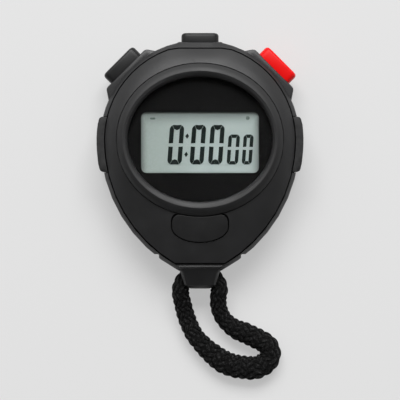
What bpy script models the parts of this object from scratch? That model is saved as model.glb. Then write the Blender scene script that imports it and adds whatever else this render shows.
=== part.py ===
"""Digital handheld stopwatch: pear-shaped two-shell case, oval display, three pushers, a front
button and a loop of cord. Metres, +Z up. It lies on its back: +Y points to the top pusher, and the
origin is on the back face, under the centre of the case's upper arc."""

import math

import bmesh
import bpy
from mathutils import Matrix, Vector

# Case plan: an upper half circle, and flanks that run on from it in wide arcs to a narrow chin.
CASE_RADIUS = 0.0310
CHIN_REACH = 0.0405
CHIN_HALF_WIDTH = 0.0067
CHIN_WALL = 0.0039
CASE_WALL = 0.0024
FLOOR_THICKNESS = 0.0018
BACK_ROUNDING = 0.0030
RIM_Z = 0.0126
RIM_WIDTH = 0.0014
RIM_SLOPE = 0.0012
RIM_EDGE = 0.00025
LIP_HEIGHT = 0.0011
NOTCH_Y = -0.0354
NOTCH_LENGTH = 0.0015
NOTCH_DEPTH = 0.0016

# Front cover.
SEAM = 0.0002
COVER_CHIN_STEP = 0.0024
COVER_TOP_STEP = 0.0020
COVER_WALL = 0.0016
COVER_EDGE_WALL = 0.00096
COVER_EDGE_HEIGHT = 0.0014
COVER_RISE = 0.0033
COVER_CROWN = 0.5
TONGUE_DEPTH = 0.0015
TONGUE_WIDTH = 0.0012
GASKET_WIDTH = 0.0006
GASKET_ROOM = 0.0006
GASKET_GAP = 0.0001

# Bezel ring, lens and display.
RING_A = 0.0257
RING_B = 0.0235
RING_BAND_A = 0.0034
RING_BAND_B = 0.0043
RING_HEIGHT = 0.0021
RING_FOOT_SHARE = 0.7
RING_LIP = 0.0003
RING_CREST = 0.56
RING_OUTER_RISE = 0.0004
RING_INNER_RISE = 0.0003
RECESS_DEPTH = 0.0014
RECESS_WALL = 0.0009
SEAT_THICKNESS = 0.0015
LENS_THICKNESS = 0.0009
LENS_EDGE = 0.0003
MASK_THICKNESS = 0.00015
LAYER_GAP = 0.00015
WINDOW_WIDTH = 0.0364
WINDOW_HEIGHT = 0.0188
WINDOW_CORNER = 0.0017
DISPLAY_Y = -0.00085
LCD_MARGIN_X = 0.0018
LCD_MARGIN_Y = 0.00185
LCD_THICKNESS = 0.0020
LCD_LEDGE = 0.0022
HOLDER_WALL = 0.0013

# Board and what it carries.
PART_GAP = 0.0003
BOARD_INSET = 0.0076
BOARD_CHIN_STEP = 0.0065
BOARD_Z = 0.0086
BOARD_THICKNESS = 0.0010
BLOB_RADIUS = 0.0040
BLOB_HEIGHT = 0.0013
BLOB_EDGE = 0.0069
BLOB_Y = 0.0040
CRYSTAL_RADIUS = 0.0010
CRYSTAL_LENGTH = 0.0062
CRYSTAL_EDGE = 0.0074
CRYSTAL_Y = -0.0010
BATTERY_RADIUS = 0.0100
BATTERY_THICKNESS = 0.0032
BATTERY_STEP = 0.0006
BATTERY_Y = -0.0115
BATTERY_ROOM = 0.0009
STRIP_THICKNESS = 0.0002
STRIP_WIDTH = 0.0050
LEAF_REACH = 0.0040
BUZZER_RADIUS = 0.0100
BUZZER_Y = 0.0120
BUZZER_PLATE = 0.0003
CERAMIC_RADIUS = 0.0070
CERAMIC_THICKNESS = 0.0003
BUZZER_SPRING_RADIUS = 0.0014
BUZZER_SPRING_WIRE = 0.0002
BUZZER_SPRING_TURNS = 5

# Pushers. A distance along a pusher's axis is counted from the point that the axis aims at.
PUSHER_Z = 0.0072
PUSHER_TRAVEL = 0.0008
PUSHER_HALF_HEIGHT = 0.0032
PUSHER_CLEARANCE = 0.0003
PUSHER_OVERLAP = 0.0011
PUSHER_EDGE = 0.0010
PUSHER_CORNER = 0.0020
SIDE_TURN = math.radians(45)
SIDE_HALF_WIDTH = 0.00650
SIDE_BOSS_PROUD = 0.0010
SIDE_CAP_PROUD = 0.0036
SIDE_BOSS_MARGIN = 0.0021
SIDE_BOSS_FLARE = 0.0023
TOP_HALF_WIDTH = 0.0058
TOP_FLAT_DEPTH = 0.0008
TOP_BOSS_PROUD = 0.0003
TOP_BOSS_MARGIN = 0.0014
TOP_BOSS_FLARE = 0.0002
TOP_CAP_PROUD = 0.00285
BOSS_EDGE = 0.0007
BOSS_BOTTOM_Z = 0.0031
STEM_RADIUS = 0.00125
BORE_CLEARANCE = 0.0003
SLEEVE_RADIUS = 0.0030
SLEEVE_LENGTH = 0.0022
SEAL_WIRE = 0.00032
SEAL_GROOVE_DEPTH = 0.00043
SEAL_GROOVE_LENGTH = 0.0008
CLIP_GROOVE_DEPTH = 0.0004
CLIP_RADIUS = 0.0021
CLIP_THICKNESS = 0.0003
STEM_TAIL = 0.0014
SPRING_POCKET_RADIUS = 0.0024
SPRING_POCKET_DEPTH = 0.0024
SPRING_RADIUS = 0.0019
SPRING_WIRE = 0.0002
SPRING_TURNS = 4
CONTACT_WIDTH = 0.0030
CONTACT_DROP = 0.0026
CONTACT_FOOT = 0.0020

# Front button and the rubber dome under it.
BUTTON_HALF_WIDTH = 0.0086
BUTTON_CORNER = 0.0022
BUTTON_SIDE = 0.0009
BUTTON_BELLY = 0.0046
BUTTON_GROOVE = 0.00035
BUTTON_PROUD = 0.0004
BUTTON_FLANGE = 0.0009
BUTTON_FLANGE_THICKNESS = 0.0007
DOME_BASE_RADIUS = 0.0034
DOME_TOP_RADIUS = 0.0018
DOME_SKIN = 0.0005
DOME_CROWN = 0.0010

# Rubber grips at the sides.
GRIP_PROUD = 0.00105
GRIP_INSET = 0.0013
GRIP_TOP_Y = 0.0072
GRIP_BOTTOM_Y = -0.0099
GRIP_BOTTOM_Z = 0.0026
GRIP_ABOVE_RIM = 0.0005
GRIP_EDGE = 0.0010
GRIP_STEPS = 8

# Lug, cord and the splice that closes the loop inside the lug.
LUG_LENGTH = 0.0057
LUG_ROOT = 0.0018
LUG_ROOT_HALF_WIDTH = 0.0092
LUG_NECK_HALF_WIDTH = 0.0066
LUG_TIP_HALF_WIDTH = 0.0048
LUG_BOTTOM_Z = 0.0020
LUG_BELOW_RIM = 0.0003
LUG_FALL = 0.0023
LUG_CORNER = 0.0018
LUG_TIP_ROUNDING = 0.0016
LUG_TIP_SHARE = 0.85
LUG_STATIONS = (0.0, 0.17, 0.33, 0.6, 0.85, 0.95, 1.0)
CORD_RADIUS = 0.0029
CORD_POINTS = 48
CORD_BEVEL_STEPS = 3
EYE_RADIUS = 0.0033
EYE_HALF_WIDTH = 0.0061
EYE_DEPTH = 0.0057
EYE_BELOW_CHIN = 0.0063
EYE_Z = 0.0062
EYE_STEPS = 20
EYE_SIDES = 14
SPLICE_HALF_LENGTH = 0.0012

# Screws and their posts.
TOP_POST_TURN = math.radians(25)
TOP_POST_INSET = 0.0062
LOW_POST_Y = -0.0205
LOW_POST_INSET = 0.0082
CASE_POST_RADIUS = 0.0026
POST_SPLIT = 0.0008
CASE_HEAD_RADIUS = 0.0019
CASE_HEAD_HEIGHT = 0.0012
CASE_HEAD_SINK = 0.0010
CASE_SHANK_RADIUS = 0.0009
CASE_SCREW_LENGTH = 0.0085
HEAD_CLEARANCE = 0.0002
THREAD_CLEARANCE = 0.00005
TOP_BOARD_POST_TURN = math.radians(38.9)
TOP_BOARD_POST_EDGE = 0.0035
LOW_BOARD_POST_X = -0.0105
LOW_BOARD_POST_Y = -0.0185
BOARD_POST_RADIUS = 0.0015
BOARD_HEAD_RADIUS = 0.0014
BOARD_HEAD_HEIGHT = 0.0006
BOARD_SHANK_RADIUS = 0.0007
BOARD_SCREW_LENGTH = 0.0030

# Fineness of round forms.
HALF_CIRCLE_STEPS = 28
FLANK_STEPS = 8
FINE_STEPS = 16
SMALL_STEPS = 10
STEM_STEPS = 12
COIL_STEPS = 8
RING_STEPS = 3
DOME_STATIONS = (0.0, 0.12, 0.3, 0.5, 0.75, 1.0)
UNDERSIDE_STATIONS = (0.999, 0.6, 0.3, 0.0)
SINK = 0.0003
CUT_PAST = 0.0010

# The cord's route, from the splice inside the lug, out to the left, round and back from the right:
# X, the distance along Y from the chin's end, and Z.
CORD_ROUTE = (
    (-0.00150, -0.00075, 0.0062),
    (-0.00220, -0.00079, 0.0062),
    (-0.00335, -0.00142, 0.0062),
    (-0.00460, -0.00252, 0.0062),
    (-0.00550, -0.00383, 0.0062),
    (-0.00600, -0.00527, 0.0061),
    (-0.00612, -0.00660, 0.0058),
    (-0.00590, -0.00840, 0.0051),
    (-0.00510, -0.01170, 0.0038),
    (-0.00445, -0.01420, 0.0032),
    (-0.00353, -0.01675, 0.0030),
    (-0.00254, -0.01891, 0.0030),
    (-0.00145, -0.02090, 0.0030),
    (0.00010, -0.02258, 0.0030),
    (0.00180, -0.02450, 0.0030),
    (0.00605, -0.02800, 0.0030),
    (0.00850, -0.02930, 0.0030),
    (0.01110, -0.03020, 0.0030),
    (0.01640, -0.03080, 0.0030),
    (0.01880, -0.03020, 0.0030),
    (0.02080, -0.02900, 0.0030),
    (0.02200, -0.02730, 0.0030),
    (0.02210, -0.02540, 0.0030),
    (0.02120, -0.02370, 0.0030),
    (0.01950, -0.02240, 0.0030),
    (0.01450, -0.01995, 0.0030),
    (0.01210, -0.01900, 0.0030),
    (0.01010, -0.01785, 0.0030),
    (0.00840, -0.01640, 0.0031),
    (0.00710, -0.01480, 0.0033),
    (0.00622, -0.01280, 0.0038),
    (0.00575, -0.01070, 0.0044),
    (0.00574, -0.00850, 0.0051),
    (0.00600, -0.00660, 0.0058),
    (0.00600, -0.00527, 0.0061),
    (0.00550, -0.00383, 0.0062),
    (0.00460, -0.00252, 0.0062),
    (0.00335, -0.00142, 0.0062),
    (0.00220, -0.00079, 0.0062),
    (0.00150, -0.00075, 0.0062),
)

# Heights and places that follow from the sizes above. The flanks' arcs start where the half
# circle ends and pass through the chin's corners.
CHIN_DRAW = CASE_RADIUS - CHIN_HALF_WIDTH
FLANK_RADIUS = (CHIN_REACH**2 + CHIN_DRAW**2) / (2 * CHIN_DRAW)
LEDGE_Z = RIM_Z - LIP_HEIGHT
SKIRT_Z = LEDGE_Z + GASKET_ROOM
COVER_EDGE_Z = SKIRT_Z + COVER_EDGE_HEIGHT
COVER_TOP_Z = COVER_EDGE_Z + COVER_RISE
COVER_EDGE_INSET = RIM_WIDTH + SEAM
COVER_CHIN = CHIN_REACH - COVER_CHIN_STEP
TOP_FLAT_Y = CASE_RADIUS - TOP_FLAT_DEPTH
COVER_FLAT = TOP_FLAT_Y - COVER_TOP_STEP
CAVITY_CHIN = CHIN_REACH - CHIN_WALL
CAVITY_FLAT = COVER_FLAT + SEAM - (CASE_WALL - RIM_WIDTH)
SEAT_Z = COVER_TOP_Z - RECESS_DEPTH
SEAT_UNDER_Z = SEAT_Z - SEAT_THICKNESS
UNDERSIDE_TOP_Z = SEAT_Z - PART_GAP
POST_TOP_Z = SEAT_Z - PART_GAP / 2
MASK_Z = SEAT_Z + LAYER_GAP
LENS_Z = MASK_Z + MASK_THICKNESS + LAYER_GAP
LENS_TOP_Z = LENS_Z + LENS_THICKNESS
LCD_TOP_Z = SEAT_Z - LAYER_GAP
LCD_Z = LCD_TOP_Z - LCD_THICKNESS
LCD_HALF_WIDTH = WINDOW_WIDTH / 2 + LCD_MARGIN_X
LCD_HALF_HEIGHT = WINDOW_HEIGHT / 2 + LCD_MARGIN_Y
LENS_A = RING_A - RING_FOOT_SHARE * RING_BAND_A - PART_GAP
LENS_B = RING_B - RING_FOOT_SHARE * RING_BAND_B - PART_GAP
BOARD_TOP_Z = BOARD_Z + BOARD_THICKNESS
BOARD_RADIUS = CASE_RADIUS - BOARD_INSET
BATTERY_Z = BOARD_Z - BATTERY_ROOM - BATTERY_THICKNESS
BUTTON_TOP_Y = -(RING_B + BUTTON_GROOVE)
BUTTON_FLANGE_Z = SEAT_UNDER_Z - 2 * PART_GAP - BUTTON_FLANGE_THICKNESS
POST_SPLIT_Z = BOARD_Z - POST_SPLIT
CASE_SCREW_END_Z = CASE_HEAD_SINK + CASE_HEAD_HEIGHT + CASE_SCREW_LENGTH
BOARD_SCREW_END_Z = BOARD_Z - LAYER_GAP + BOARD_SCREW_LENGTH
DISPLAY_PLACE = (0.0, DISPLAY_Y)
ARM = FLANK_RADIUS - CASE_RADIUS


def clear_scene():
    for obj in list(bpy.data.objects):
        bpy.data.objects.remove(obj)


def material(name, colour, roughness, metallic=0.0):
    made = bpy.data.materials.new(name)
    made.use_nodes = True
    shader = made.node_tree.nodes["Principled BSDF"]
    shader.inputs["Base Color"].default_value = (*colour, 1.0)
    shader.inputs["Roughness"].default_value = roughness
    shader.inputs["Metallic"].default_value = metallic
    return made


def placed(name, data, look=None, parent=None):
    obj = bpy.data.objects.new(name, data)
    bpy.context.scene.collection.objects.link(obj)
    if look:
        data.materials.append(look)
    obj.parent = parent
    return obj


def finish(name, bm, look=None, parent=None):
    """A named object from a bmesh, smooth except at its sharp edges."""
    bmesh.ops.recalc_face_normals(bm, faces=bm.faces)
    mesh = bpy.data.meshes.new(name)
    bm.to_mesh(mesh)
    bm.free()
    mesh.shade_smooth()
    mesh.set_sharp_from_angle(angle=math.radians(35))
    return placed(name, mesh, look, parent)


def boolean(obj, other, operation):
    """Adds the modifier, and marks the other shape as no piece of its own."""
    other.hide_render = True
    other.display_type = "WIRE"
    modifier = obj.modifiers.new(other.name, "BOOLEAN")
    modifier.object = other
    modifier.operation = operation
    modifier.solver = "EXACT"


def cut(obj, *others):
    for other in others:
        boolean(obj, other, "DIFFERENCE")


def join(obj, *others):
    for other in others:
        boolean(obj, other, "UNION")


def loft(rings, closed=False):
    """Skins rings of equally many points. A closed loft runs back to its first ring."""
    bm = bmesh.new()
    skins = [[bm.verts.new(point) for point in ring] for ring in rings]
    pairs = list(zip(skins, skins[1:]))
    if closed:
        pairs.append((skins[-1], skins[0]))
    for low, high in pairs:
        for i in range(len(low)):
            j = (i + 1) % len(low)
            bm.faces.new((low[i], low[j], high[j], high[i]))
    if not closed:
        bm.faces.new(list(reversed(skins[0])))
        bm.faces.new(skins[-1])
    return bm


def at_height(points, z):
    return [(x, y, z) for x, y in points]


def prism(points, low, high):
    return loft([at_height(points, low), at_height(points, high)])


def bar(points, half_length, along):
    """A profile of (across, up) points, extruded to both sides along X or Y."""
    rings = []
    for s in (-half_length, half_length):
        rings.append([(s, p, q) if along == "X" else (p, s, q) for p, q in points])
    return loft(rings)


def arc(centre, radius, start, end, steps):
    """Points along an arc, both ends included. A pair of radii gives an ellipse."""
    a, b = radius if isinstance(radius, tuple) else (radius, radius)
    angles = [start + (end - start) * i / steps for i in range(steps + 1)]
    return [(centre[0] + a * math.cos(t), centre[1] + b * math.sin(t)) for t in angles]


def ellipse(a, b, steps=2 * HALF_CIRCLE_STEPS, centre=(0.0, 0.0)):
    return arc(centre, (a, b), 0.0, math.tau, steps)[:-1]


def cylinder(radius, low, high, centre=(0.0, 0.0), steps=FINE_STEPS):
    return prism(ellipse(radius, radius, steps, centre), low, high)


def rounded_rectangle(half_width, half_height, corner, centre=(0.0, 0.0), steps=3):
    points = []
    for quarter in range(4):
        side = 1 if quarter in (0, 3) else -1
        up = 1 if quarter < 2 else -1
        middle = (centre[0] + side * (half_width - corner), centre[1] + up * (half_height - corner))
        start = quarter * math.pi / 2
        points += arc(middle, corner, start, start + math.pi / 2, steps)
    return points


def box(half_width, half_height, low, high, centre=(0.0, 0.0)):
    x, y = centre
    corners = [(half_width, half_height), (-half_width, half_height)]
    corners += [(-half_width, -half_height), (half_width, -half_height)]
    return prism([(x + p, y + q) for p, q in corners], low, high)


def lathe(profile, steps=FINE_STEPS, centre=(0.0, 0.0)):
    """Turns (radius, height) points round an upright axis, which the first and last lie on."""
    bm = bmesh.new()
    x, y = centre
    verts = [bm.verts.new((x + radius, y, height)) for radius, height in profile]
    edges = [bm.edges.new(pair) for pair in zip(verts, verts[1:])]
    bmesh.ops.spin(
        bm,
        geom=verts + edges,
        cent=(x, y, 0),
        axis=(0, 0, 1),
        angle=math.tau,
        steps=steps,
        use_merge=True,
    )
    bmesh.ops.remove_doubles(bm, verts=bm.verts, dist=1e-7)
    return bm


def turned_ring(profile, steps=FINE_STEPS):
    """Turns a closed (radius, height) profile, clear of the axis, into a ring."""
    rings = []
    for i in range(steps):
        t = math.tau * i / steps
        rings.append([(r * math.cos(t), r * math.sin(t), z) for r, z in profile])
    return loft(rings, closed=True)


def case_outline(inset=0.0, chin=CHIN_REACH, flat=TOP_FLAT_Y):
    """Points round the case's plan, drawn in by inset, ended at the chin and cut at the top."""
    flank = FLANK_RADIUS - inset
    low = math.asin(chin / flank)
    right = arc((-ARM, 0.0), flank, -low, 0.0, FLANK_STEPS)[:-1]
    top = arc((0.0, 0.0), CASE_RADIUS - inset, 0.0, math.pi, HALF_CIRCLE_STEPS)
    left = [(-x, y) for x, y in reversed(right)]
    points = right + top + left + [(0.0, -chin)]
    return [(x, min(y, flat)) for x, y in points]


def cover_outline(inset=0.0):
    """The front cover's plan, drawn in from its own edge."""
    return case_outline(COVER_EDGE_INSET + inset, COVER_CHIN - inset, COVER_FLAT - inset)


def flank_x(y, inset):
    return math.sqrt((FLANK_RADIUS - inset) ** 2 - y * y) - ARM


def on_ellipse(point, a, b):
    turn = math.atan2(point[1] / b, point[0] / a)
    return a * math.cos(turn), b * math.sin(turn)


def cover_surface(t, lift=0.0, most=COVER_TOP_Z + CUT_PAST):
    """One ring of the domed front, from its edge (t = 0) to the groove round the ring (t = 1)."""
    rise = COVER_RISE * ((1 - COVER_CROWN) * t + COVER_CROWN * math.sin(t * math.pi / 2))
    points = []
    for x, y in cover_outline():
        inner_x, inner_y = on_ellipse((x, y), RING_A + SEAM, RING_B + SEAM)
        height = min(COVER_EDGE_Z + rise + lift, most)
        points.append((x + (inner_x - x) * t, y + (inner_y - y) * t, height))
    return points


def cover_underside(t):
    """One ring of the dome's inner face, from the tongue (t = 0) to the recess's wall (t = 1)."""
    start_z = COVER_EDGE_Z - COVER_EDGE_WALL
    points = []
    for x, y in cover_outline(CASE_WALL + PART_GAP + TONGUE_WIDTH - COVER_EDGE_INSET):
        inner_x, inner_y = on_ellipse((x, y), RING_A + SEAM + RECESS_WALL, RING_B + SEAM + RECESS_WALL)
        room = math.hypot(inner_x - x, inner_y - y)
        end_z = SEAT_UNDER_Z + (UNDERSIDE_TOP_Z - SEAT_UNDER_Z) * min(1.0, room / COVER_RISE)
        height = start_z + (end_z - start_z) * math.sin(t * math.pi / 2)
        points.append((x + (inner_x - x) * t, y + (inner_y - y) * t, height))
    return points


def button_outline(grow=0.0, top_grow=None):
    """The front button's plan: a top edge that follows the ring, round corners and a full belly."""
    half = BUTTON_HALF_WIDTH + grow
    lift = grow if top_grow is None else top_grow
    a = RING_A + BUTTON_GROOVE
    shoulder = half - BUTTON_CORNER
    top = []
    for i in range(7):
        x = shoulder - 2 * shoulder * i / 6
        top.append((x, BUTTON_TOP_Y * math.sqrt(1 - (x / a) ** 2) + lift))
    corner_y = top[0][1] - BUTTON_CORNER
    belly_y = BUTTON_TOP_Y - BUTTON_CORNER - BUTTON_SIDE
    right = arc((shoulder, corner_y), BUTTON_CORNER, 0.0, math.pi / 2, 3)[:-1]
    left = [(-x, y) for x, y in reversed(right)]
    belly = arc((0.0, belly_y), (half, BUTTON_BELLY + grow), math.pi, math.tau, 14)
    return right + top + left + belly


def empty(name, matrix):
    obj = placed(name, None)
    obj.matrix_world = matrix
    return obj


def pusher_axis(turn, aim_y):
    """A matrix whose Z runs out along a pusher's axis, and whose Y is the part's up."""
    out = Vector((math.sin(turn), math.cos(turn), 0.0))
    up = Vector((0.0, 0.0, 1.0))
    rotation = Matrix((up.cross(out), up, out)).transposed().to_4x4()
    return Matrix.Translation((0.0, aim_y, PUSHER_Z)) @ rotation


def smooth_route(stations, count):
    """Evenly spaced points on a Catmull-Rom curve through the stations, and its length."""
    before = stations[0] - (stations[1] - stations[0])
    after = stations[-1] - (stations[-2] - stations[-1])
    ends = [before, *stations, after]
    fine = []
    for a, b, c, d in zip(ends, ends[1:], ends[2:], ends[3:]):
        for i in range(16):
            t = i / 16
            bend = (2 * a - 5 * b + 4 * c - d) * t * t + (3 * b - a - 3 * c + d) * t**3
            fine.append(0.5 * (2 * b + (c - a) * t + bend))
    fine.append(stations[-1])
    lengths = [0.0]
    for p, q in zip(fine, fine[1:]):
        lengths.append(lengths[-1] + (q - p).length)
    points = []
    at = 0
    for i in range(count):
        goal = lengths[-1] * i / (count - 1)
        while at < len(fine) - 2 and lengths[at + 1] < goal:
            at += 1
        share = (goal - lengths[at]) / (lengths[at + 1] - lengths[at])
        points.append(fine[at].lerp(fine[at + 1], min(1.0, share)))
    return points, lengths[-1]


def tube(points, radius, sides):
    """Round rings set square to a level path, skinned into a tube."""
    rings = []
    for i, point in enumerate(points):
        way = points[min(i + 1, len(points) - 1)] - points[max(i - 1, 0)]
        rise = Vector((0.0, 0.0, radius))
        side = way.cross(rise).normalized() * radius
        turns = [math.tau * k / sides for k in range(sides)]
        rings.append([point + math.cos(t) * rise + math.sin(t) * side for t in turns])
    return loft(rings)


def wire_curve(name, points, radius, resolution, look, parent=None):
    curve = bpy.data.curves.new(name, "CURVE")
    curve.dimensions = "3D"
    curve.bevel_depth = radius
    curve.bevel_resolution = resolution
    curve.use_fill_caps = True
    spline = curve.splines.new("POLY")
    spline.points.add(len(points) - 1)
    for point, place in zip(spline.points, points):
        point.co = (*place, 1.0)
    return placed(name, curve, look, parent)


def coil(name, radius, wire, low, high, turns, look, parent=None, centre=(0.0, 0.0)):
    """A compression spring of round wire about Z."""
    count = turns * COIL_STEPS
    points = []
    for i in range(count + 1):
        t = math.tau * i / COIL_STEPS
        z = low + wire + (high - low - 2 * wire) * i / count
        points.append((centre[0] + radius * math.cos(t), centre[1] + radius * math.sin(t), z))
    return wire_curve(name, points, wire, 0, look, parent)


def screw(name, centre, head_radius, head_z, head_height, shank_radius, end_z, look):
    """A pan-headed screw that points up, with a short cone at its tip."""
    shoulder_z = head_z + head_height
    profile = [
        (0.0, head_z),
        (head_radius * 0.8, head_z),
        (head_radius, head_z + head_height * 0.4),
        (head_radius, shoulder_z),
        (shank_radius, shoulder_z),
        (shank_radius, end_z - shank_radius),
        (0.0, end_z),
    ]
    return finish(name, lathe(profile, SMALL_STEPS, centre), look)


def case_posts():
    """Where the four case screws stand: two beside the top pusher, two at the flanks."""
    reach = CASE_RADIUS - TOP_POST_INSET
    top = (reach * math.sin(TOP_POST_TURN), reach * math.cos(TOP_POST_TURN))
    low = (flank_x(LOW_POST_Y, LOW_POST_INSET), LOW_POST_Y)
    return {
        "top_right": top,
        "top_left": (-top[0], top[1]),
        "low_right": low,
        "low_left": (-low[0], low[1]),
    }


def board_posts():
    """Where the three board screws stand: two at the board's upper edge, one below the display."""
    reach = BOARD_RADIUS - TOP_BOARD_POST_EDGE
    x = reach * math.sin(TOP_BOARD_POST_TURN)
    y = reach * math.cos(TOP_BOARD_POST_TURN)
    return (x, y), (-x, y), (LOW_BOARD_POST_X, LOW_BOARD_POST_Y)


def eye_path():
    """The tunnel that the cord runs through: an arch across the lug, open at both of its sides."""
    middle_y = -(CHIN_REACH + EYE_BELOW_CHIN)
    arch = arc((0.0, middle_y), (EYE_HALF_WIDTH, EYE_DEPTH), 0.0, math.pi, EYE_STEPS)
    ends = [(side * EYE_HALF_WIDTH, middle_y - 2 * CUT_PAST) for side in (1, -1)]
    return [Vector((x, y, EYE_Z)) for x, y in (ends[0], *arch, ends[1])]


def cord_route():
    return [Vector((x, y - CHIN_REACH, z)) for x, y, z in CORD_ROUTE]


def pusher_plan():
    """Each pusher's turn, aim, boss and distances along its axis."""
    aim_rise = -DISPLAY_Y * math.cos(SIDE_TURN)
    side = {
        "aim_y": DISPLAY_Y,
        "half_width": SIDE_HALF_WIDTH,
        "boss": CASE_RADIUS + aim_rise + SIDE_BOSS_PROUD,
        "boss_half": SIDE_HALF_WIDTH + SIDE_BOSS_MARGIN,
        "boss_flare": SIDE_BOSS_FLARE,
        "boss_root": CASE_RADIUS - CASE_WALL + aim_rise,
        "wall": CASE_RADIUS - CASE_WALL + aim_rise,
        "proud": SIDE_CAP_PROUD,
    }
    top = {
        "aim_y": 0.0,
        "half_width": TOP_HALF_WIDTH,
        "boss": TOP_FLAT_Y + TOP_BOSS_PROUD,
        "boss_half": TOP_HALF_WIDTH + TOP_BOSS_MARGIN,
        "boss_flare": TOP_BOSS_FLARE,
        "boss_root": CAVITY_FLAT + SINK,
        "wall": CAVITY_FLAT,
        "proud": TOP_CAP_PROUD,
    }
    plans = {
        "right_pusher": {"turn": SIDE_TURN, **side},
        "left_pusher": {"turn": -SIDE_TURN, **side},
        "top_pusher": {"turn": 0.0, **top},
    }
    for plan in plans.values():
        plan["base"] = plan["boss"] - PUSHER_OVERLAP
        plan["floor"] = plan["base"] - PUSHER_TRAVEL - PUSHER_CLEARANCE
        plan["sleeve"] = plan["wall"] - SLEEVE_LENGTH
        plan["clip"] = plan["sleeve"] - PART_GAP - CLIP_THICKNESS
        plan["tip"] = plan["clip"] - STEM_TAIL
        plan["contact"] = plan["tip"] - PUSHER_TRAVEL - PART_GAP
        plan["seal"] = plan["sleeve"] + SLEEVE_LENGTH / 2
    return plans


def make_pusher(name, plan, axis, cap_look, steel, rubber):
    """The cap with its stem, the return spring, the seal in its groove and the retaining clip."""
    half = plan["half_width"]
    face = plan["boss"] + plan["proud"]
    rings = [at_height(rounded_rectangle(half, PUSHER_HALF_HEIGHT, PUSHER_CORNER), plan["base"])]
    for i in range(4):
        t = i / 3 * math.pi / 2
        draw = PUSHER_EDGE * (1 - math.cos(t))
        plan_points = rounded_rectangle(half - draw, PUSHER_HALF_HEIGHT - draw, PUSHER_CORNER - draw)
        rings.append(at_height(plan_points, face - PUSHER_EDGE * (1 - math.sin(t))))
    cap = finish(name, loft(rings), cap_look, axis)
    pocket_top = plan["base"] + SPRING_POCKET_DEPTH
    pocket = cylinder(SPRING_POCKET_RADIUS, plan["base"] - CUT_PAST, pocket_top)
    cut(cap, finish(name + "_spring_pocket", pocket, parent=axis))
    clip_root = STEM_RADIUS - CLIP_GROOVE_DEPTH
    seal_root = STEM_RADIUS - SEAL_GROOVE_DEPTH
    clip_low = plan["clip"] - LAYER_GAP / 2
    clip_high = plan["clip"] + CLIP_THICKNESS + LAYER_GAP / 2
    seal_low = plan["seal"] - SEAL_GROOVE_LENGTH / 2
    seal_high = plan["seal"] + SEAL_GROOVE_LENGTH / 2
    stem = [
        (0.0, plan["tip"]),
        (STEM_RADIUS * 0.8, plan["tip"]),
        (STEM_RADIUS, plan["tip"] + STEM_RADIUS * 0.2),
        (STEM_RADIUS, clip_low),
        (clip_root, clip_low),
        (clip_root, clip_high),
        (STEM_RADIUS, clip_high),
        (STEM_RADIUS, seal_low),
        (seal_root, seal_low),
        (seal_root, seal_high),
        (STEM_RADIUS, seal_high),
        (STEM_RADIUS, pocket_top + SINK),
        (0.0, pocket_top + SINK),
    ]
    join(cap, finish(name + "_stem", lathe(stem, STEM_STEPS), parent=axis))
    coil(
        name + "_spring",
        SPRING_RADIUS,
        SPRING_WIRE,
        plan["floor"] + LAYER_GAP,
        pocket_top - LAYER_GAP,
        SPRING_TURNS,
        steel,
        axis,
    )
    middle = seal_root + GASKET_GAP / 4 + SEAL_WIRE
    seal = turned_ring(ellipse(SEAL_WIRE, SEAL_WIRE, 6, (middle, plan["seal"])), STEM_STEPS)
    finish(name + "_seal", seal, rubber, axis)
    outer = arc((0.0, 0.0), CLIP_RADIUS, math.radians(-50), math.radians(230), 14)
    inner = arc((0.0, 0.0), clip_root + GASKET_GAP, math.radians(230), math.radians(-50), 14)
    clip = prism(outer + inner, plan["clip"], plan["clip"] + CLIP_THICKNESS)
    finish(name + "_clip", clip, steel, axis)


def make_contact(name, plan, axis, look):
    """A bent leaf under the board's edge, just past the end of the stem's travel."""
    face = plan["contact"] + LAYER_GAP
    top = BOARD_Z - GASKET_GAP - PUSHER_Z
    profile = [
        (top, face - CONTACT_FOOT),
        (top, face),
        (top - CONTACT_DROP, face),
        (top - CONTACT_DROP, face - STRIP_THICKNESS),
        (top - STRIP_THICKNESS, face - STRIP_THICKNESS),
        (top - STRIP_THICKNESS, face - CONTACT_FOOT),
    ]
    finish(name, bar(profile, CONTACT_WIDTH / 2, "X"), look, axis)


def shape_for_pusher(cover, name, plan, axis):
    """The boss, sleeve, pocket and bore that a pusher needs in the rear cover."""
    half = plan["boss_half"]
    root = plan["boss_root"]
    points = [
        (half, plan["boss"]),
        (half + plan["boss_flare"], root),
        (0.0, root + SINK),
        (-half - plan["boss_flare"], root),
        (-half, plan["boss"]),
    ]
    low = BOSS_BOTTOM_Z - PUSHER_Z
    high = RIM_Z - RIM_SLOPE - RIM_EDGE - PUSHER_Z
    boss = loft([[(x, y, z) for x, z in points] for y in (low, high)])
    outer = [e for e in boss.edges if max(v.co.z for v in e.verts) > plan["boss"] - SINK]
    bmesh.ops.bevel(
        boss,
        geom=outer,
        offset=BOSS_EDGE,
        segments=2,
        profile=0.5,
        affect="EDGES",
        material=-1,
    )
    join(cover, finish(name + "_boss", boss, parent=axis))
    sleeve = cylinder(SLEEVE_RADIUS, plan["sleeve"], plan["wall"] + SINK)
    join(cover, finish(name + "_sleeve", sleeve, parent=axis))
    half = plan["half_width"] + PUSHER_CLEARANCE
    up = PUSHER_HALF_HEIGHT + PUSHER_CLEARANCE
    window = rounded_rectangle(half, up, PUSHER_CORNER + PUSHER_CLEARANCE)
    pocket = prism(window, plan["floor"], plan["boss"] + 2 * CUT_PAST)
    bore = cylinder(STEM_RADIUS + BORE_CLEARANCE, plan["sleeve"] - CUT_PAST, plan["floor"] + SINK)
    cut(cover, finish(name + "_pocket", pocket, parent=axis))
    cut(cover, finish(name + "_bore", bore, parent=axis))


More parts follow.
